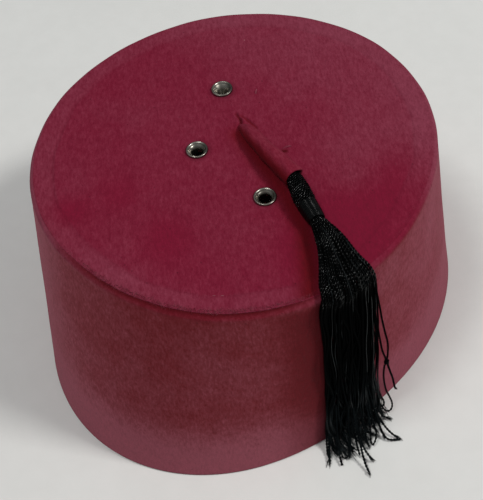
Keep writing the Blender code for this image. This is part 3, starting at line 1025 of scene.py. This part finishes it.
def stem_section(row, thinner, slope):
    """One turn of the rolled strip. Its outer edge ends in a ledge low on the left side."""
    along, rise, half_width, half_height = row
    wrap = ((stem_turn - radians(250)) % (2 * pi)) / (2 * pi)
    ledge = 0.00050 * (wrap - 0.5) * np.clip(along / 0.008, 0, 1)
    ledge = ledge * np.clip(np.minimum(wrap, 1 - wrap) / 0.012, 0, 1)
    wobble = 0.00009 * np.sin(3 * stem_turn + along * 420)
    wobble = wobble + 0.00006 * np.sin(5 * stem_turn - along * 700)
    # The strip's loose corner stands off the mouth on the right.
    corner = eased(stem_bearing, 8, 14) * eased(62 - stem_bearing, 0, 40)
    swell = ledge + wobble + 0.00075 * corner * eased(along, 0.0362, 0.0408)
    across = (half_width - thinner + swell) * np.cos(stem_turn)
    upward = (half_height - thinner + swell) * np.sin(stem_turn)
    flat_under = np.where(np.sin(stem_turn) < 0, 1.35, 1.0)
    bowed = stem_side * STEM_BOW * np.sin(pi * np.clip(along / 0.036, 0, 1))
    middle = ROOT + stem_axis * along + stem_up * rise + bowed
    lean = stem_up * cos(slope) - stem_axis * sin(slope)
    return middle + across[:, None] * stem_side + (upward * flat_under)[:, None] * lean


slopes = np.arctan2(np.gradient(stem_rows[:, 1]), np.gradient(stem_rows[:, 0]))
# The root's end is closed in a rounded pinch, and the mouth is turned over a cut edge.
stem_rings = [
    stem_section(stem_rows[0] - [0.0003 * k, 0.0002 * k, 0, 0], 0.0003 * k**1.6, slopes[0])
    for k in (2, 1)
]
stem_rings += [stem_section(row, 0, slope) for row, slope in zip(stem_rows, slopes)]
mouth_row, mouth_slope = stem_rows[-1], slopes[-1]
forward = np.array([1.0, mouth_slope, 0, 0])
for turn in np.radians(np.linspace(0, 180, 9)[1:]):
    ahead = mouth_row + forward * STEM_WALL * 0.5 * sin(turn)
    stem_rings.append(stem_section(ahead, STEM_WALL * 0.5 * (1 - cos(turn)), mouth_slope))
for depth in np.linspace(0.0005, BORE_DEPTH, BORE_RINGS):
    thinner = STEM_WALL * (1 + 0.1 * depth / BORE_DEPTH)
    stem_rings.append(stem_section(mouth_row - forward * depth, thinner, mouth_slope))
stem_rings = np.array(stem_rings)
# Painted shade: the left flank, turned from the window, is painted deep and darker, and the nick
# in the mouth's lip and the bore are painted dark.
off_left = np.abs((stem_bearing - 195 + 180) % 360 - 180)
turn_shade = eased(92 - off_left, 0, 60)
nick = eased(stem_bearing, 4, 9) * eased(14 - stem_bearing, 0, 5)
mouth_x = stem_rings[-BORE_RINGS - 2, 0, 0]
mouth_run = eased(stem_rings[:, :1, 0], mouth_x - 0.004, mouth_x)
soiled = np.maximum(0.14 * turn_shade, 0.8 * nick * mouth_run)
soiled[-BORE_RINGS:] = 0.6
painted_marks = {"soiled": soiled[:, ::-1], "kept": turn_shade[::-1]}
stem_mesh = shell("felt_stem", stem_rings[:, ::-1], False, **painted_marks)
piece("felt_stem", stem_mesh, STEM_FELT.material, "stem_felt", "stem")

# ---- the tuck beside the stem
# A small loose tongue of felt beside the stem's free side: it is part of the top's nap side
# that was nicked when the slit was cut, and its front edge stands a little up.

TUCK_START = np.array([AXIS_X + 0.0163, 0.0110])
TUCK_END = np.array([AXIS_X + 0.0180, 0.0145])
TUCK_DEPTH = 0.0021
TUCK_RISE = 0.0004
TUCK_FELT = 0.0003

across = np.linspace(0, 1, 19)[:, None]
back = np.linspace(0, 1, 11)[None, :]
line = TUCK_END - TUCK_START
length = np.hypot(*line)
front = line / length
arch = np.sin(pi * np.clip(across * 0.92 + 0.04, 0, 1)) ** 0.7
depth = TUCK_DEPTH * (0.35 + 0.65 * arch) * back
x = TUCK_START[0] + front[0] * length * across - front[1] * depth
y = TUCK_START[1] + front[1] * length * across + front[0] * depth
rise = TUCK_RISE * arch * (0.05 + 0.95 * across) * (1 - back) ** 0.8 - 0.0006 * back
upper_face = np.stack([x, y, HEIGHT + TUCK_FELT + rise], axis=-1)
lower_face = np.stack([x, y, HEIGHT + rise - 0.0002], axis=-1)
tuck_rows = np.concatenate([upper_face, lower_face[:, ::-1]], axis=1)
# Painted highlight: the raised right end of the tongue is painted paler.
tuck_mesh = shell("felt_tuck", tuck_rows, False, rubbed=0.15 + 0.55 * across**2)
piece("felt_tuck", tuck_mesh, TOP_FELT.material, "top_felt")

# ---- tassel: the skirt of cords
# About sixty two-ply silky cords, bound at the neck, that spread over the hat's edge, hang
# down the wall and end on the table. Each is laid in its place among the others.

THREAD = Finish("black_thread", {"Specular IOR Level": 0.016, "Coat Roughness": 0.16})
own = THREAD.place()
hair = THREAD.cloud(own, 0.16, 3.0, 0.6)
batch = THREAD.cloud(own, 7.0, 2.0)
shade = hair * 0.5 + batch * 0.5
# The cords are a little worn and dusty low down. Each ply's crest shines where they lie on top
# of the hat, and they are dull down its side.
height_now = THREAD.node("ShaderNodeSeparateXYZ", {}, {0: own}, 2)
body = THREAD.blend(shade.rising(0.3, 0.7), (0.0003, 0.0004, 0.0005), (0.0012, 0.0015, 0.0016))
worn = (1 - height_now.rising(10, 60)) * shade.rising(0.25, 0.75)
body = THREAD.blend(worn, body, (0.0080, 0.0112, 0.0126))
THREAD.dress(body, hair * 0.12 + batch * 0.10 + 0.20, hair, 0.00003)
shining = THREAD.painted("crest").rising(0.72, 0.84) * height_now.rising(91, 99)
gleams = THREAD.cloud(own, 3.2, 2.0).rising(0.44, 0.60)
THREAD.feed("Coat Weight", shining * (gleams * 0.9 + 0.1))

FRAYED = thread(
    "frayed_thread",
    {"Specular IOR Level": 0.22},
    (1.6, 3.0),
    ((0.0032, 0.0048, 0.0056), (0.0120, 0.0180, 0.0200)),
    (0.4, 0.2),
)

# The radius in metres of the cords' bend out on to the table. Other lengths from here to the
# end of the tassel are in millimetres, until a run of points is stored.
SWEEP = 0.008
CORDS = 60
CORD_RADIUS = 0.50
CORD_STEP = 0.34
CONTACT = 0.42
NECK_RADIUS = 3.0
NECK_WAY = 52.0
LAST_WAY = 206.0
# Way along the felt from the axis, the bearings of the skirt's two edges there, the height of
# its middle and half its thickness, and the reach that turns degrees into distance.
SKIRT = np.array((
    (52.0, -12.9, -7.0, 4.2, 2.6, 52.0), (55.0, -13.8, -6.8, 4.7, 2.6, 55.0),
    (58.0, -14.7, -6.8, 5.2, 2.4, 58.0), (61.5, -15.8, -7.0, 5.2, 2.3, 61.5),
    (66.0, -17.5, -7.2, 4.4, 2.1, 66.0), (71.5, -20.0, -7.5, 3.2, 1.9, 71.5),
    (76.5, -22.1, -7.5, 2.6, 1.8, 76.5), (80.5, -23.6, -7.1, 2.4, 1.8, 79.5),
    (84.5, -24.4, -6.8, 2.3, 1.8, 81.0), (90.0, -24.5, -6.6, 2.2, 1.7, 82.0),
    (100.0, -24.0, -6.4, 2.0, 1.6, 82.5), (110.0, -23.7, -6.2, 2.0, 1.5, 83.0),
    (118.0, -24.0, -6.2, 2.0, 1.5, 83.5), (126.0, -24.2, -6.4, 2.0, 1.5, 84.0),
    (138.0, -24.3, -6.8, 2.1, 1.6, 84.5), (148.0, -24.3, -7.0, 2.2, 1.7, 85.0),
    (160.0, -24.2, -6.8, 2.4, 1.8, 86.0), (170.0, -24.4, -6.2, 2.6, 2.0, 87.0),
    (182.0, -24.7, -5.6, 2.4, 2.0, 90.0), (200.0, -25.3, -5.2, 2.0, 1.6, 98.0),
))
# Way along the felt, and how far the cords wander there from their places.
LOOSENESS = ((56, 75, 110, 150, 185), (0, 0.3, 1.3, 2.4, 3.0))
# Share across the skirt from its middle, and how much further the cords there reach.
FURTHER = ((-0.5, -0.1, 0.2, 0.5), (3.5, 3.0, 1.0, -1.0))
RELAXING_ROUNDS = 240
# In each round: how hard touching cords part, how far each goes back to its place, and how far
# its line is smoothed.
PARTING = 0.22
HOMING = 0.06
SMOOTHING = 0.45
STATION_STEP = 2.0
# How long a cord's curled end is, and the stretch of its way in which it comes down on to the
# table: how long that is, and how much of it lies before the wall's foot.
CURLED_END = 11
LANDING = 14
LANDING_LEAD = 8
SHORT_SHARE = 0.20
FRAY_SHARE = 0.85
UNDER_CORDS = 25
FLOSS_RADIUS = 0.16
# One floss thread arches clear of the rest, from the neck to the hat's edge.
FLOSS_LINE = (
    (58.0, -12.2, 105.8), (61.1, -13.6, 106.9), (65.0, -15.6, 106.8), (70.6, -18.6, 106.2),
    (77.6, -21.9, 104.2), (82.8, -24.6, 99.9), (83.9, -25.2, 92.0),
)


def felt_path(way, bearing, lift):
    """Points above the felt, way along it over the edge and down, and then out on the table."""
    flat = top_reach(bearing) - EDGE_ROUND
    turn = np.clip((way - flat) / EDGE_ROUND, 0, pi / 2)
    height = EDGE_LEVEL - (way - flat - EDGE_ROUND * pi / 2)
    reach = np.minimum(way, flat) + (EDGE_ROUND + lift) * np.sin(turn)
    level = EDGE_LEVEL + (EDGE_ROUND + lift) * np.cos(turn)
    down = height < EDGE_LEVEL
    reach = np.where(down, wall_reach(bearing, np.maximum(height, 0)) + lift, reach)
    level = np.where(down, height, level)
    past = SWEEP - height
    bend = np.clip(past / SWEEP, 0, pi / 2)
    foot = wall_reach(bearing, 0 * bearing + SWEEP) + SWEEP
    out = np.maximum(past - SWEEP * pi / 2, 0)
    swept = down & (past > 0)
    reach = np.where(swept, foot - np.cos(bend) * (SWEEP - lift) + out, reach)
    level = np.where(swept, SWEEP - np.sin(bend) * (SWEEP - lift), level)
    return around(bearing, reach, level)


def wandering(random, rows, columns, waves):
    """Smooth noise down each column, of about 1."""
    along = np.linspace(0, 1, rows)[:, None]
    total = np.zeros((rows, columns))
    for wave in waves:
        phase = random.uniform(0, 2 * pi, columns)
        total = total + random.normal(0, 1, columns) * np.sin(2 * pi * wave * along + phase)
    return total / len(waves) ** 0.5


random = np.random.default_rng(11)
ways = np.arange(NECK_WAY, LAST_WAY, STATION_STEP)
left, right, middle_lift, half_pile, turning = (
    np.interp(ways, SKIRT[:, 0], column) for column in SKIRT.T[1:]
)
middle_bearing = (left + right) / 2
breadth = np.radians(right - left) * turning - 2 * CORD_RADIUS


def skirt_bearing(way, sideways):
    """The bearing at that way along the felt and that far beside the skirt's middle."""
    middle = np.interp(way, ways, middle_bearing)
    return middle + np.degrees(sideways / np.interp(way, ways, turning))


# In the neck the cords are packed evenly into a disc, and sorted from one side to the other.
spiral = np.arange(CORDS) + 0.5
disc_out = (NECK_RADIUS - 0.36) * np.sqrt(spiral / CORDS)
disc_turn = spiral * pi * (3 - 5**0.5)
disc_across, disc_up = disc_out * np.cos(disc_turn), disc_out * np.sin(disc_turn)
order = np.argsort(disc_across)
disc_across, disc_up = disc_across[order], disc_up[order]

# Below it each has its own place across the skirt, and its own layer in the pile.
share = (np.arange(CORDS) + 0.5) / CORDS - 0.5
loose = np.interp(ways, *LOOSENESS)[:, None]
breadth_now, middle_now = breadth[:, None], middle_lift[:, None]
goal = share * breadth_now + loose * wandering(random, len(ways), CORDS, (1.5, 2.5, 4.0))
goal = np.clip(goal, -breadth_now / 2 - 0.3, breadth_now / 2 + 0.3)
layer = random.uniform(-1, 1, CORDS) * np.sqrt(1 - (1.8 * share) ** 2)
pile = middle_now + half_pile[:, None] * layer
thick = np.interp(ways, (52, 57, 66), (0.36, 0.40, CORD_RADIUS))[:, None]
contact = thick * CONTACT / CORD_RADIUS
opening = eased(ways[:, None], 53, 68)
across = disc_across * (1 - opening) + goal * opening
lift = (middle_now + disc_up) * (1 - opening) + pile * opening
ground = thick + 0.2
# The cords settle: those that touch part, and each stays near its place in a smooth line.
for relaxing in range(RELAXING_ROUNDS):
    beside = across[:, :, None] - across[:, None, :]
    above = lift[:, :, None] - lift[:, None, :]
    apart = np.hypot(beside, above) + 1e-6
    push = np.clip(2.0 * contact[:, :, None] - apart, 0, None) / apart * PARTING
    across = across + (beside * push).sum(axis=2) + (goal - across) * HOMING * opening
    lift = lift + (above * push).sum(axis=2) + (pile - lift) * HOMING * opening
    lift = np.maximum(lift, ground)
    for field in (across, lift):
        field[1:-1] += SMOOTHING * ((field[:-2] + field[2:]) / 2 - field[1:-1])
    across[:2], lift[:2] = disc_across, middle_now[:2] + disc_up

# The way along the felt from the axis to the table, and where each cord ends. Most reach the
# table, and about a fifth hang short of it.
drop = (TOP_RADIUS - EDGE_ROUND + EDGE_ROUND * pi / 2 + EDGE_LEVEL) / MM
reaching = drop - SWEEP / MM * (2 - pi / 2)
ends = reaching + random.uniform(1.5, 9.0, CORDS) + np.interp(share, *FURTHER)
short = random.random(CORDS) < SHORT_SHARE
ends = np.where(short, drop - random.uniform(1, 12, CORDS), ends)
curl = random.normal(0, 2.2, CORDS)
curl = np.where(np.abs(share) > 0.3, -np.sign(share) * np.abs(curl) * 0.5, curl)
perk = np.where(short, random.uniform(0, 2.5, CORDS), random.uniform(0, 1.5, CORDS))
rest = random.uniform(0.55, 3.2, CORDS)

cords = []
for index in range(CORDS):
    way = np.linspace(NECK_WAY, ends[index], int((ends[index] - NECK_WAY) / CORD_STEP))
    tail = np.clip((way - ends[index] + CURLED_END) / CURLED_END, 0, 1) ** 2
    sideways = np.interp(way, ways, across[:, index]) + curl[index] * tail
    height = np.interp(way, ways, lift[:, index])
    landing = np.clip((way - drop + LANDING_LEAD) / LANDING, 0, 1) * (not short[index])
    height = height + (rest[index] - height) * landing + perk[index] * tail
    points = felt_path(way * MM, skirt_bearing(way, sideways), height * MM)
    points[:, 2] = np.maximum(points[:, 2], 0.5 * MM)
    radius = np.interp(way, ways, thick[:, 0]) * random.uniform(0.90, 1.08)
    cords.append((points, radius * MM))

# A bottom layer of cords lies close together against the felt.
under_cords = []
slack = wandering(random, len(ways), UNDER_CORDS, (1.5, 3.0))
for index in range(UNDER_CORDS):
    way = np.linspace(58, drop - random.uniform(1, 8), 250)
    sideways = ((index + 0.5) / UNDER_CORDS - 0.5) * (np.interp(way, ways, breadth) - 0.4)
    sideways = sideways + 0.25 * np.interp(way, ways, slack[:, index])
    points = felt_path(way * MM, skirt_bearing(way, sideways), 0.55 * MM + 0 * way)
    under_cords.append((points, 0.52 * MM))

# Single floss threads that have come loose from the cords and lie straight along them.
floss = [(from_axis(smoothed(FLOSS_LINE, 90)), FLOSS_RADIUS * MM)]
for index in random.integers(2, CORDS - 2, 14):
    points = cords[index][0]
    first, last = sorted(random.integers(20, len(points) - 5, 2))
    points = points[first : max(last, first + 60) : 2].copy()
    away = np.hypot(points[:, 0] - AXIS_X, points[:, 1])[:, None]
    points[:, :2] += (points[:, :2] - [AXIS_X, 0]) / away * 0.5 * MM
    points[:, 2] += 0.45 * MM * (points[:, 2] > 0.090)
    floss.append((points, random.uniform(0.10, 0.17) * MM))

# ---- tassel: loose ends
# The cords at the skirt's corners and bottom have curled, looped and come undone, and two of
# them are knotted together at the right.

KNOT = (87.0, -7.6, 39.0)
KNOT_RADIUS = 0.75
KNOT_TURNS = 3.2
STRANDS = 4
FRAY_FIBRES = (13, 19)
# Each stray cord: its radius, whether its end is frayed, and its points from the axis.
STRAYS = (
    (0.5, True, ((80.9, -32.9, 38), (80, -35, 26), (79.6, -36.1, 14.8), (80.2, -36.7, 5),
        (81.8, -38.2, 1.8), (83.6, -39.8, 0.8))),
    (0.72, True, ((81.2, -32.6, 36), (80.6, -35, 20.3), (81, -36, 8), (82.7, -37.9, 3.4),
        (84.9, -40.1, 1.5), (86.7, -42, 0.9))),
    (0.55, False, ((81.5, -32.3, 30.2), (82, -32.5, 18.2), (83.7, -33.9, 9), (86.2, -36, 4.5),
        (88.9, -38, 2), (91.7, -39.8, 0.8))),
    (0.42, False, ((80.6, -33.6, 26.2), (80.8, -35, 10), (82.6, -36.5, 6), (84.4, -37.6, 2.5),
        (85.8, -37.6, 1), (87.3, -37.2, 0.7), (87.9, -36, 0.7))),
    (0.42, False, ((83.1, -26.8, 24.5), (85, -28.3, 16), (87, -29.9, 9.5), (89.2, -31.9, 4.5),
        (90.7, -33.8, 2.2), (90.8, -35.8, 1), (89.8, -36.8, 0.7), (88.4, -36.4, 0.7))),
    (0.5, True, ((82.6, -26.5, 26), (84.5, -28, 15), (86.9, -30, 8.5), (89.3, -32.3, 4),
        (91.3, -34.8, 1.4))),
    (0.6, True, ((83.7, -24.6, 22.2), (87.7, -27.4, 17.5), (90.2, -28.4, 11.5),
        (92.7, -29.8, 7.8), (94.8, -31.1, 5.2), (97, -32.4, 3.4), (99.5, -33.7, 1.8),
        (101.8, -34.6, 0.8))),
    (0.56, True, ((83.8, -24.2, 21.7), (87.6, -26.6, 17), (90.1, -27.6, 11), (92.7, -29, 7.5),
        (94.9, -29.6, 5), (97.1, -29.8, 3.2), (98.9, -29.8, 2))),
    (0.5, False, ((83.1, -25.2, 19.8), (86.4, -27.4, 13), (89.1, -28.9, 8), (91.9, -30.5, 4),
        (94.2, -31.6, 1.4))),
    (0.5, True, ((84, -20.6, 21.4), (87.4, -23, 16), (90.1, -24.4, 10), (92.6, -25.6, 5),
        (94.4, -26.1, 1.6))),
    (0.47, False, ((84.5, -16.9, 23.7), (86.4, -17.3, 15.5), (88.7, -18.2, 10),
        (91.3, -19.1, 6.5), (93.3, -20.2, 4.4), (94.7, -22, 2.6), (95.2, -24.3, 1.4),
        (93.7, -23.8, 1.6), (92, -22, 3), (90.3, -20.6, 6.5), (88.3, -19.3, 11), (85.5, -18, 16))),
    (0.54, True, ((84.7, -15.6, 23.8), (86.7, -15, 13.5), (90.1, -15.9, 7.5), (93.4, -17.4, 4),
        (95.9, -18.1, 1.2))),
    (0.52, True, ((84.3, -16.8, 30), (84.6, -14.2, 16), (87.2, -14.2, 9.5), (91.1, -15.1, 6),
        (94.9, -15.3, 3), (97.9, -15.1, 1.6), (100.3, -14.7, 1))),
    (0.52, True, ((84.6, -16.1, 26), (86, -14.8, 14), (89.5, -15.8, 8.5), (93.7, -17.7, 4),
        (97, -18.3, 1.8), (98.9, -17.6, 1.1), (100.6, -15.9, 0.9))),
    (0.52, True, ((84.3, -16.3, 32.5), (84.4, -12.4, 17), (85.4, -11.7, 10), (87.8, -12.1, 5.5),
        (89.7, -11.9, 3), (91.1, -10.9, 1.6), (92.2, -10, 1))),
    (0.48, False, ((86.8, -7.6, 38.6), (86.4, -8.3, 35), (86.4, -8.1, 25.9), (87.3, -7.3, 16.5),
        (88.1, -5.7, 9.5), (89.5, -5.4, 5.5), (90.3, -6.2, 2.8), (90, -7.6, 1.4),
        (88.5, -8.5, 1.6), (86.6, -8.8, 3.5), (85.6, -10.3, 8), (85.2, -12, 14))),
    (0.48, False, ((84.8, -12.5, 31.4), (85.2, -9.7, 17), (85.6, -8.1, 9.5), (86.7, -7.6, 6.5),
        (87.4, -8, 4.5), (86.9, -9, 3.4), (86, -9.2, 4.2), (85.8, -9.4, 7), (85, -10.5, 13))),
    (0.47, False, ((82.6, -11.8, 92), (83.1, -11.4, 88.4), (84.4, -10.7, 78.7),
        (85.1, -9.9, 70.6), (86.1, -8.9, 61.6), (86.7, -7.5, 52.8), (86.8, -7.1, 44.1),
        (87, -7.5, 39.4), (86.8, -5.2, 29.9), (86.9, -2.6, 19.5), (87, -0.4, 8.4),
        (87.4, 0.5, 6.7))),
    (0.47, False, ((83.3, -12.5, 78.7), (85.2, -12, 65.8), (86, -11.4, 58.1),
        (86.4, -10.1, 49.6), (86.9, -8, 41), (86.8, -7.7, 38.3))),
)

strays = []
for radius, frayed, points in STRAYS:
    count = int(np.linalg.norm(np.diff(points, axis=0), axis=1).sum() / CORD_STEP)
    strays.append((from_axis(smoothed(points, count)), radius * 1.1 * MM))
# Two of them meet in the knot, which is a short coil of cord round both.
turn = np.linspace(0, KNOT_TURNS * 2 * pi, 60)
knot = [np.cos(turn), np.sin(turn), np.linspace(-1.1, 1.1, 60) + 0.35 * np.cos(turn)]
knot = np.array(KNOT) + np.stack(knot, axis=1) * [KNOT_RADIUS, KNOT_RADIUS, 0.8]
strays.append((from_axis(knot), 0.40 * MM))


def unit(vectors):
    """Each vector, made one long."""
    return vectors / np.linalg.norm(vectors, axis=-1, keepdims=True)


def fray(points, radius, random):
    """A brush of fibres where a cord's twist has come undone at its end."""
    ahead = unit(points[-1] - points[-6])
    length = random.uniform(1.5, 2.8) * MM
    for _ in range(int(random.integers(*FRAY_FIBRES))):
        off = random.normal(0, 0.5, 3) * radius
        aim = ahead + random.normal(0, 0.20, 3)
        run = np.linspace(0, 1, 5)[:, None] * random.uniform(0.6, 1.15)
        line = points[-1] - ahead * 0.4 * MM + off + aim * run * length
        line[:, 2] -= (run[:, 0] ** 2) * 0.4 * MM
        line[:, 2] = np.maximum(line[:, 2], 0.12 * MM)
        floss.append((line, np.linspace(0.15, 0.07, 5) * MM))


def unravelled(points, random):
    """Soft strands that a cord's plies have come apart into, along its last few centimetres."""
    run = points[max(len(points) - int(random.uniform(20, 46) / CORD_STEP), 20) :: 3]
    grow = np.linspace(0, 1, len(run))
    parted = eased(grow, 0, 0.9) * MM
    outward = unit((run - [AXIS_X, 0, 0]) * [1, 1, 0])
    beside = np.cross([0, 0, 1.0], outward)

    def wave(size):
        """A slow wave along the strand, of that size."""
        return size * np.sin(grow * random.uniform(4, 9) + random.uniform(0, 6))

    for _ in range(STRANDS):
        sideways = random.normal(0, 0.8) + wave(random.normal(0, 0.45))
        out = abs(random.normal(0, 0.5)) + wave(0.25)
        line = run + beside * (sideways * parted)[:, None] + outward * (out * parted)[:, None]
        ahead = unit(line[-1] - line[-3])
        beyond = ahead * np.linspace(0.5, random.uniform(1.2, 3.5), 4)[:, None] * MM
        line = np.vstack([line, line[-1] + beyond])
        line[:, 2] = np.maximum(line[:, 2], 0.2 * MM)
        strands.append((line, np.linspace(0.22, 0.10, len(line)) * MM))


strands = []
for points, radius in cords:
    if random.random() < FRAY_SHARE:
        fray(points, radius[-1], random)
    unravelled(points, random)
for (points, radius), (_, frayed, _) in zip(strays, STRAYS):
    if frayed:
        fray(points, radius, random)

CORD = twisted_cord(THREAD)
LOOSE = twisted_cord(FRAYED)
for third in range(3):
    name = f"tassel_cords_{third + 1}"
    lay(name, cords[third::3], random, CORD, {}, "black_thread", "tassel")
for name, runs, pattern, sizes in (
    ("tassel_under_cords", under_cords, CORD, {"Sides": 4}),
    ("tassel_strands", strands, LOOSE, {"Waist": 0.8, "Sides": 3}),
    ("tassel_ends", strays, CORD, {}),
    ("tassel_floss", floss, LOOSE, {"Waist": 1.0, "Sides": 3}),
):
    lay(name, runs, random, pattern, sizes, "black_thread")

# ---- tassel: the head
# The same cords, drawn up into the stem's mouth and given half a turn, make a knob. A close
# winding of satin thread below it holds them.

# Along from the axis, beside it, above the top, and the head's radius there.
HEAD = (
    (29.5, 0.8, 5.9, 2.3), (32.0, 0.0, 5.9, 2.6), (34.0, -0.8, 5.8, 3.2), (37.0, -2.2, 5.4, 3.75),
    (40.4, -3.9, 5.0, 4.05), (43.4, -5.4, 4.8, 4.05), (46.0, -6.6, 4.6, 3.65),
    (50.0, -8.1, 4.4, 3.35), (53.0, -9.2, 4.2, 3.15), (55.0, -10.1, 4.2, 2.9),
)
KNOB_CORDS = 22
KNOB_CORD_RADIUS = 0.56
KNOB_TURN = radians(230)
KNOB_END = 0.72
CORE_INSET = 0.75
WINDING_START = 0.62
WINDING_LENGTH = 0.91 - WINDING_START
WINDING_PITCH = 0.40
WINDING_RADIUS = 0.24

head = smoothed(HEAD, 200)
head_run = run_along(head)
head_line = from_axis(head[:, :3]) + [0, 0, HEIGHT]
ahead = unit(np.gradient(head_line, axis=0))
head_left = unit(np.cross([0, 0, 1.0], ahead))
head_up = np.cross(ahead, head_left)


def head_at(share, columns):
    """What the columns hold at a share along the head."""
    return np.stack([np.interp(share, head_run / head_run[-1], c) for c in columns.T], axis=-1)


def round_head(share, turn, inset):
    """Points at a share along the head, a turn about it and that many mm inside its radius."""
    out = (head_at(share, head[:, 3:]) - np.asarray(inset)[..., None]) * MM
    sideways = np.cos(turn)[..., None] * out * head_at(share, head_left)
    upwards = np.sin(turn)[..., None] * out * head_at(share, head_up)
    return head_at(share, head_line) + sideways + upwards


knob = []
share = np.linspace(0.0, KNOB_END, 120)
for index in range(KNOB_CORDS):
    turn = 2 * pi * index / KNOB_CORDS + KNOB_TURN * share + 0.05 * np.sin(9 * share + index)
    inset = KNOB_CORD_RADIUS * 0.95 - 0.10 * np.sin(index * 2.4 + 5 * share)
    knob.append((round_head(share, turn, inset), KNOB_CORD_RADIUS * MM))
sizes = {"Pitch": 0.0024, "Waist": 0.5}
lay("tassel_knob", knob, random, CORD, sizes, "black_thread", "tassel")

core_share, core_turn = np.meshgrid(np.linspace(0, 0.985, 60), np.radians(np.arange(0, 360, 10)))
core = round_head(core_share.T, core_turn.T, CORE_INSET)
piece("tassel_core", shell("tassel_core", core, False), THREAD.material, "black_thread")

SATIN = thread(
    "satin_thread",
    {"Specular IOR Level": 0.17},
    (0.9, 3.0),
    ((0.0006, 0.0009, 0.0010), (0.0022, 0.0030, 0.0031)),
    (0.17, 0.08),
    0.00001,
)
turns = WINDING_LENGTH * head_run[-1] / WINDING_PITCH
wound = np.linspace(0, 1, int(turns * 30))
inset = WINDING_RADIUS * 0.4 - 0.05 * np.sin(wound * 50) - 0.14 * np.sin(pi * wound)
winding = round_head(WINDING_START + WINDING_LENGTH * wound, 2 * pi * turns * wound, inset)
winding = [(winding, WINDING_RADIUS * MM)]
sizes = {"Waist": 1.0, "Sides": 6}
lay("tassel_binding", winding, random, twisted_cord(SATIN), sizes, "black_thread")
